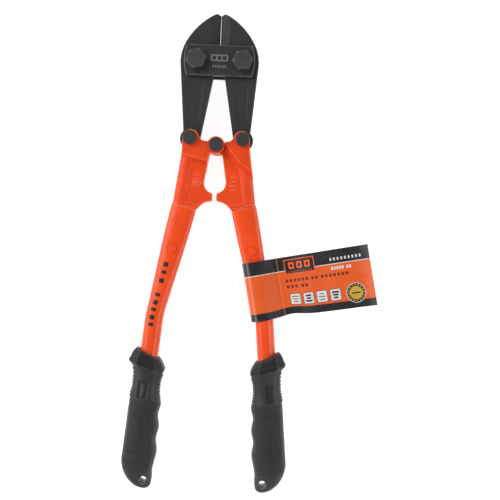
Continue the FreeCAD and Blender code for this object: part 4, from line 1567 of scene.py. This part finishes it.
@dataclass
class HangLabel:
    """A printed card sleeve around the right tube, glued at a fold and running on as a flag."""

    line: HandleLine
    tubes: HandleTubes
    height: float = 43.3
    start: float = 40.4
    lean: float = math.radians(1.2)
    fold: tuple[float, float] = (16.4, 1.5)
    end: tuple[float, float] = (80.4, 28.0)
    card: float = 0.32
    gap: float = 0.35
    cells_up: int = 26
    sleeve_cells: int = 60
    flag_cells: int = 46
    cell_length: float = 1.2
    waves: tuple[tuple[float, int], ...] = ((0.9, 1), (0.5, 3), (0.22, 5))
    wave_lean: float = 0.4
    tuck_middle: float = 6.0
    tuck_spread: float = 9.0
    layer_gap: float = 0.02
    pinch: float = 1.6
    eases: int = 3

    def sleeve_path(self) -> list[tuple[float, float]]:
        """The loop around the tube, from the fold over the front and back to the fold.

        Returns:
            Points across the tube, as (out, rise) in millimetres.
        """
        wide = self.tubes.section(self.start * MM)[0] / MM + self.gap + self.card / 2
        low_end = (self.start + self.height) * MM
        deep = self.tubes.section(low_end)[1] / MM + self.gap + self.card / 2
        out, rise = self.fold
        reach = math.hypot(out / wide, rise / deep)
        tilt = math.atan2(rise / deep, out / wide)
        spread = math.acos(1 / reach)
        path = [self.fold]
        for number in range(self.sleeve_cells + 1):
            turn = tilt + spread + (2 * math.pi - 2 * spread) * number / self.sleeve_cells
            path.append((wide * math.cos(turn), deep * math.sin(turn)))
        return path + [self.fold]

    def flag_path(self, lift: float) -> list[tuple[float, float]]:
        """One layer of the flag, a little bowed, from the fold to the free end.

        Args:
            lift: How far the layer stands off the flag's middle, in millimetres.

        Returns:
            Points across the tube, as (out, rise) in millimetres.
        """
        run = (self.end[0] - self.fold[0], self.end[1] - self.fold[1])
        length = math.hypot(*run)
        path = []
        for number in range(self.flag_cells + 1):
            share = number / self.flag_cells
            bow = sum(size * math.sin(halves * math.pi * share) for size, halves in self.waves)
            out = self.fold[0] + run[0] * share - lift * run[1] / length
            rise = self.fold[1] + run[1] * share - bow + lift * run[0] / length
            out += self.wave_lean * bow
            path.append((out, rise))
        return path

    def strip_path(self) -> tuple[np.ndarray, np.ndarray]:
        """The whole strip: flag's front layer, sleeve, then flag's back layer.

        Returns:
            Points as (out, rise), and each point's print distance from the fold.
        """
        lift = self.card / 2 + self.layer_gap
        front, back = self.flag_path(lift)[::-1], self.flag_path(-lift)
        path = self.spaced(front + self.sleeve_path()[1:-1] + back)
        steps = [math.dist(a, b) for a, b in zip(path, path[1:])]
        travel = np.concatenate([[0.0], np.cumsum(steps)])
        spots = np.array(path)
        for _ in range(self.eases):
            spots[1:-1] = (spots[:-2] + 2 * spots[1:-1] + spots[2:]) / 4
        flag = sum(math.dist(a, b) for a, b in zip(front, front[1:]))
        return spots, flag - travel

    def spaced(self, path: Sequence[tuple[float, float]]) -> list[tuple[float, float]]:
        """Add points on a path's long straight stretches.

        Args:
            path: The path's points.

        Returns:
            The path with no gap over about twice the cell length.
        """
        full = [path[0]]
        for a, b in zip(path, path[1:]):
            count = max(1, int(math.dist(a, b) / self.cell_length))
            for number in range(1, count + 1):
                share = number / count
                full.append((a[0] + (b[0] - a[0]) * share, a[1] + (b[1] - a[1]) * share))
        return full

    def tuck(self, out: float, down: float) -> float:
        """How far the card's lower edge is drawn up where it is pinched at the fold.

        Args:
            out: Distance outwards from the tube's axis.
            down: Distance down from the label's upper edge.

        Returns:
            The draw, in millimetres.
        """
        near = math.exp(-(((out - self.fold[0] - self.tuck_middle) / self.tuck_spread) ** 2))
        return self.pinch * near * (down / self.height) ** 2

    def strip(self, finish: bpy.types.Material) -> bpy.types.Object:
        """Thicken the strip's path and draw it out along the tube.

        Args:
            finish: The printed card.

        Returns:
            The piece, with its print coordinates in decimetres.
        """
        spots, prints = self.strip_path()
        run = np.gradient(spots, axis=0)
        run /= np.linalg.norm(run, axis=1)[:, None]
        normal = np.stack([-run[:, 1], run[:, 0]], axis=1) * self.card / 2
        closed = np.concatenate([spots + normal, (spots - normal)[::-1]])
        travel = np.concatenate([prints, prints[::-1]])
        rings, marks = [], []
        for row in range(self.cells_up + 1):
            down = self.height * row / self.cells_up
            ring = [self.place(o, r, down - self.tuck(o, down)) for o, r in closed]
            rings.append([Vector(spot) for spot in ring])
            marks += [(value, self.height - down) for value in travel]
        rows, columns = len(rings), len(closed)
        points = [tuple(spot) for ring in rings for spot in ring]
        faces: list[tuple[int, ...]] = list(ring_faces(rows, columns))
        half = columns // 2
        for base in (0, (rows - 1) * columns):
            for index in range(half - 1):
                far = base + columns - 1 - index
                faces.append((base + index, base + index + 1, far - 1, far))
        piece = new_piece("hang_label_card", points, faces, finish)
        layer = piece.data.uv_layers.new(name="print")
        for loop in piece.data.loops:
            across, up = marks[loop.vertex_index]
            layer.data[loop.index].uv = (across / 100, up / 100)
        piece.data.set_sharp_from_angle(angle=math.radians(50))
        return piece

    def place(self, out: float, rise: float, down: float) -> Point:
        """Put a point of the label into the row frame.

        Args:
            out: Distance outwards from the tube's axis, in millimetres.
            rise: Height above the mid-plane, in millimetres.
            down: Distance down from the label's upper edge, in millimetres.

        Returns:
            The point, in metres.
        """
        angle = self.line.upper_angle - self.lean
        origin = self.line.start + self.line.along(self.line.upper_angle) * self.start * MM
        spot = origin + self.line.across(angle) * out * MM + self.line.along(angle) * down * MM
        return (spot.x, spot.y, spot.z + rise * MM)

    def build(self, finish: bpy.types.Material) -> None:
        """Build the label.

        Args:
            finish: The printed card.
        """
        piece = self.strip(finish)
        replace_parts(piece, "hang_label")
        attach(piece, "right_handle")
        LOG.info("built %s", piece.name)


def main() -> None:
    """Build the studio and every sub-assembly, and report each piece."""
    logging.basicConfig(level=logging.INFO, format="%(message)s")
    Studio().build()
    line = HandleLine()
    cast = OrangeEnamel("enamel_cast", 0.00005, rough=0.38, coat=0.0).make()
    drawn = OrangeEnamel("enamel_tube", 0.000012, colour=(0.94, 0.084, 0.011),
                         deep=(0.88, 0.072, 0.009)).make()
    jaw_steel = BlackSteel("jaw_steel", (0.043, 0.043, 0.044), roughness=0.5, shine=0.16).make()
    # Plates and bolts take a painted highlight on their bevels.
    plate_steel = BlackSteel("plate_steel", (0.034, 0.034, 0.035), bevels=0.55).make()
    bolt_steel = BlackSteel("bolt_steel", (0.050, 0.049, 0.049), roughness=0.48,
                            bevels=0.35).make()
    pivot_steel = BlackSteel("pivot_steel", (0.044, 0.041, 0.041), roughness=0.5).make()
    ink = PrintInk("tube_ink", (0.012, 0.008, 0.008), (0.03, 0.012, 0.010)).make()

    tubes = HandleTubes(line)
    tubes.build(drawn, ink)
    HandleHeads().build(cast)
    Grips(line).build(GripPlastic().make())
    Jaws().build(jaw_steel)
    HangLabel(line, tubes).build(PrintedCard().make())
    Badge().build(PrintInk("badge_pale", (0.20, 0.20, 0.20), (0.15, 0.15, 0.15)).make(),
                  PrintInk("badge_dark", (0.03, 0.03, 0.03), (0.045, 0.045, 0.045)).make())
    Hardware().build({"plate": plate_steel, "bolt": bolt_steel, "nut": bolt_steel,
                      "washer": bolt_steel, "link_bolt": pivot_steel})


if __name__ == "__main__":
    main()
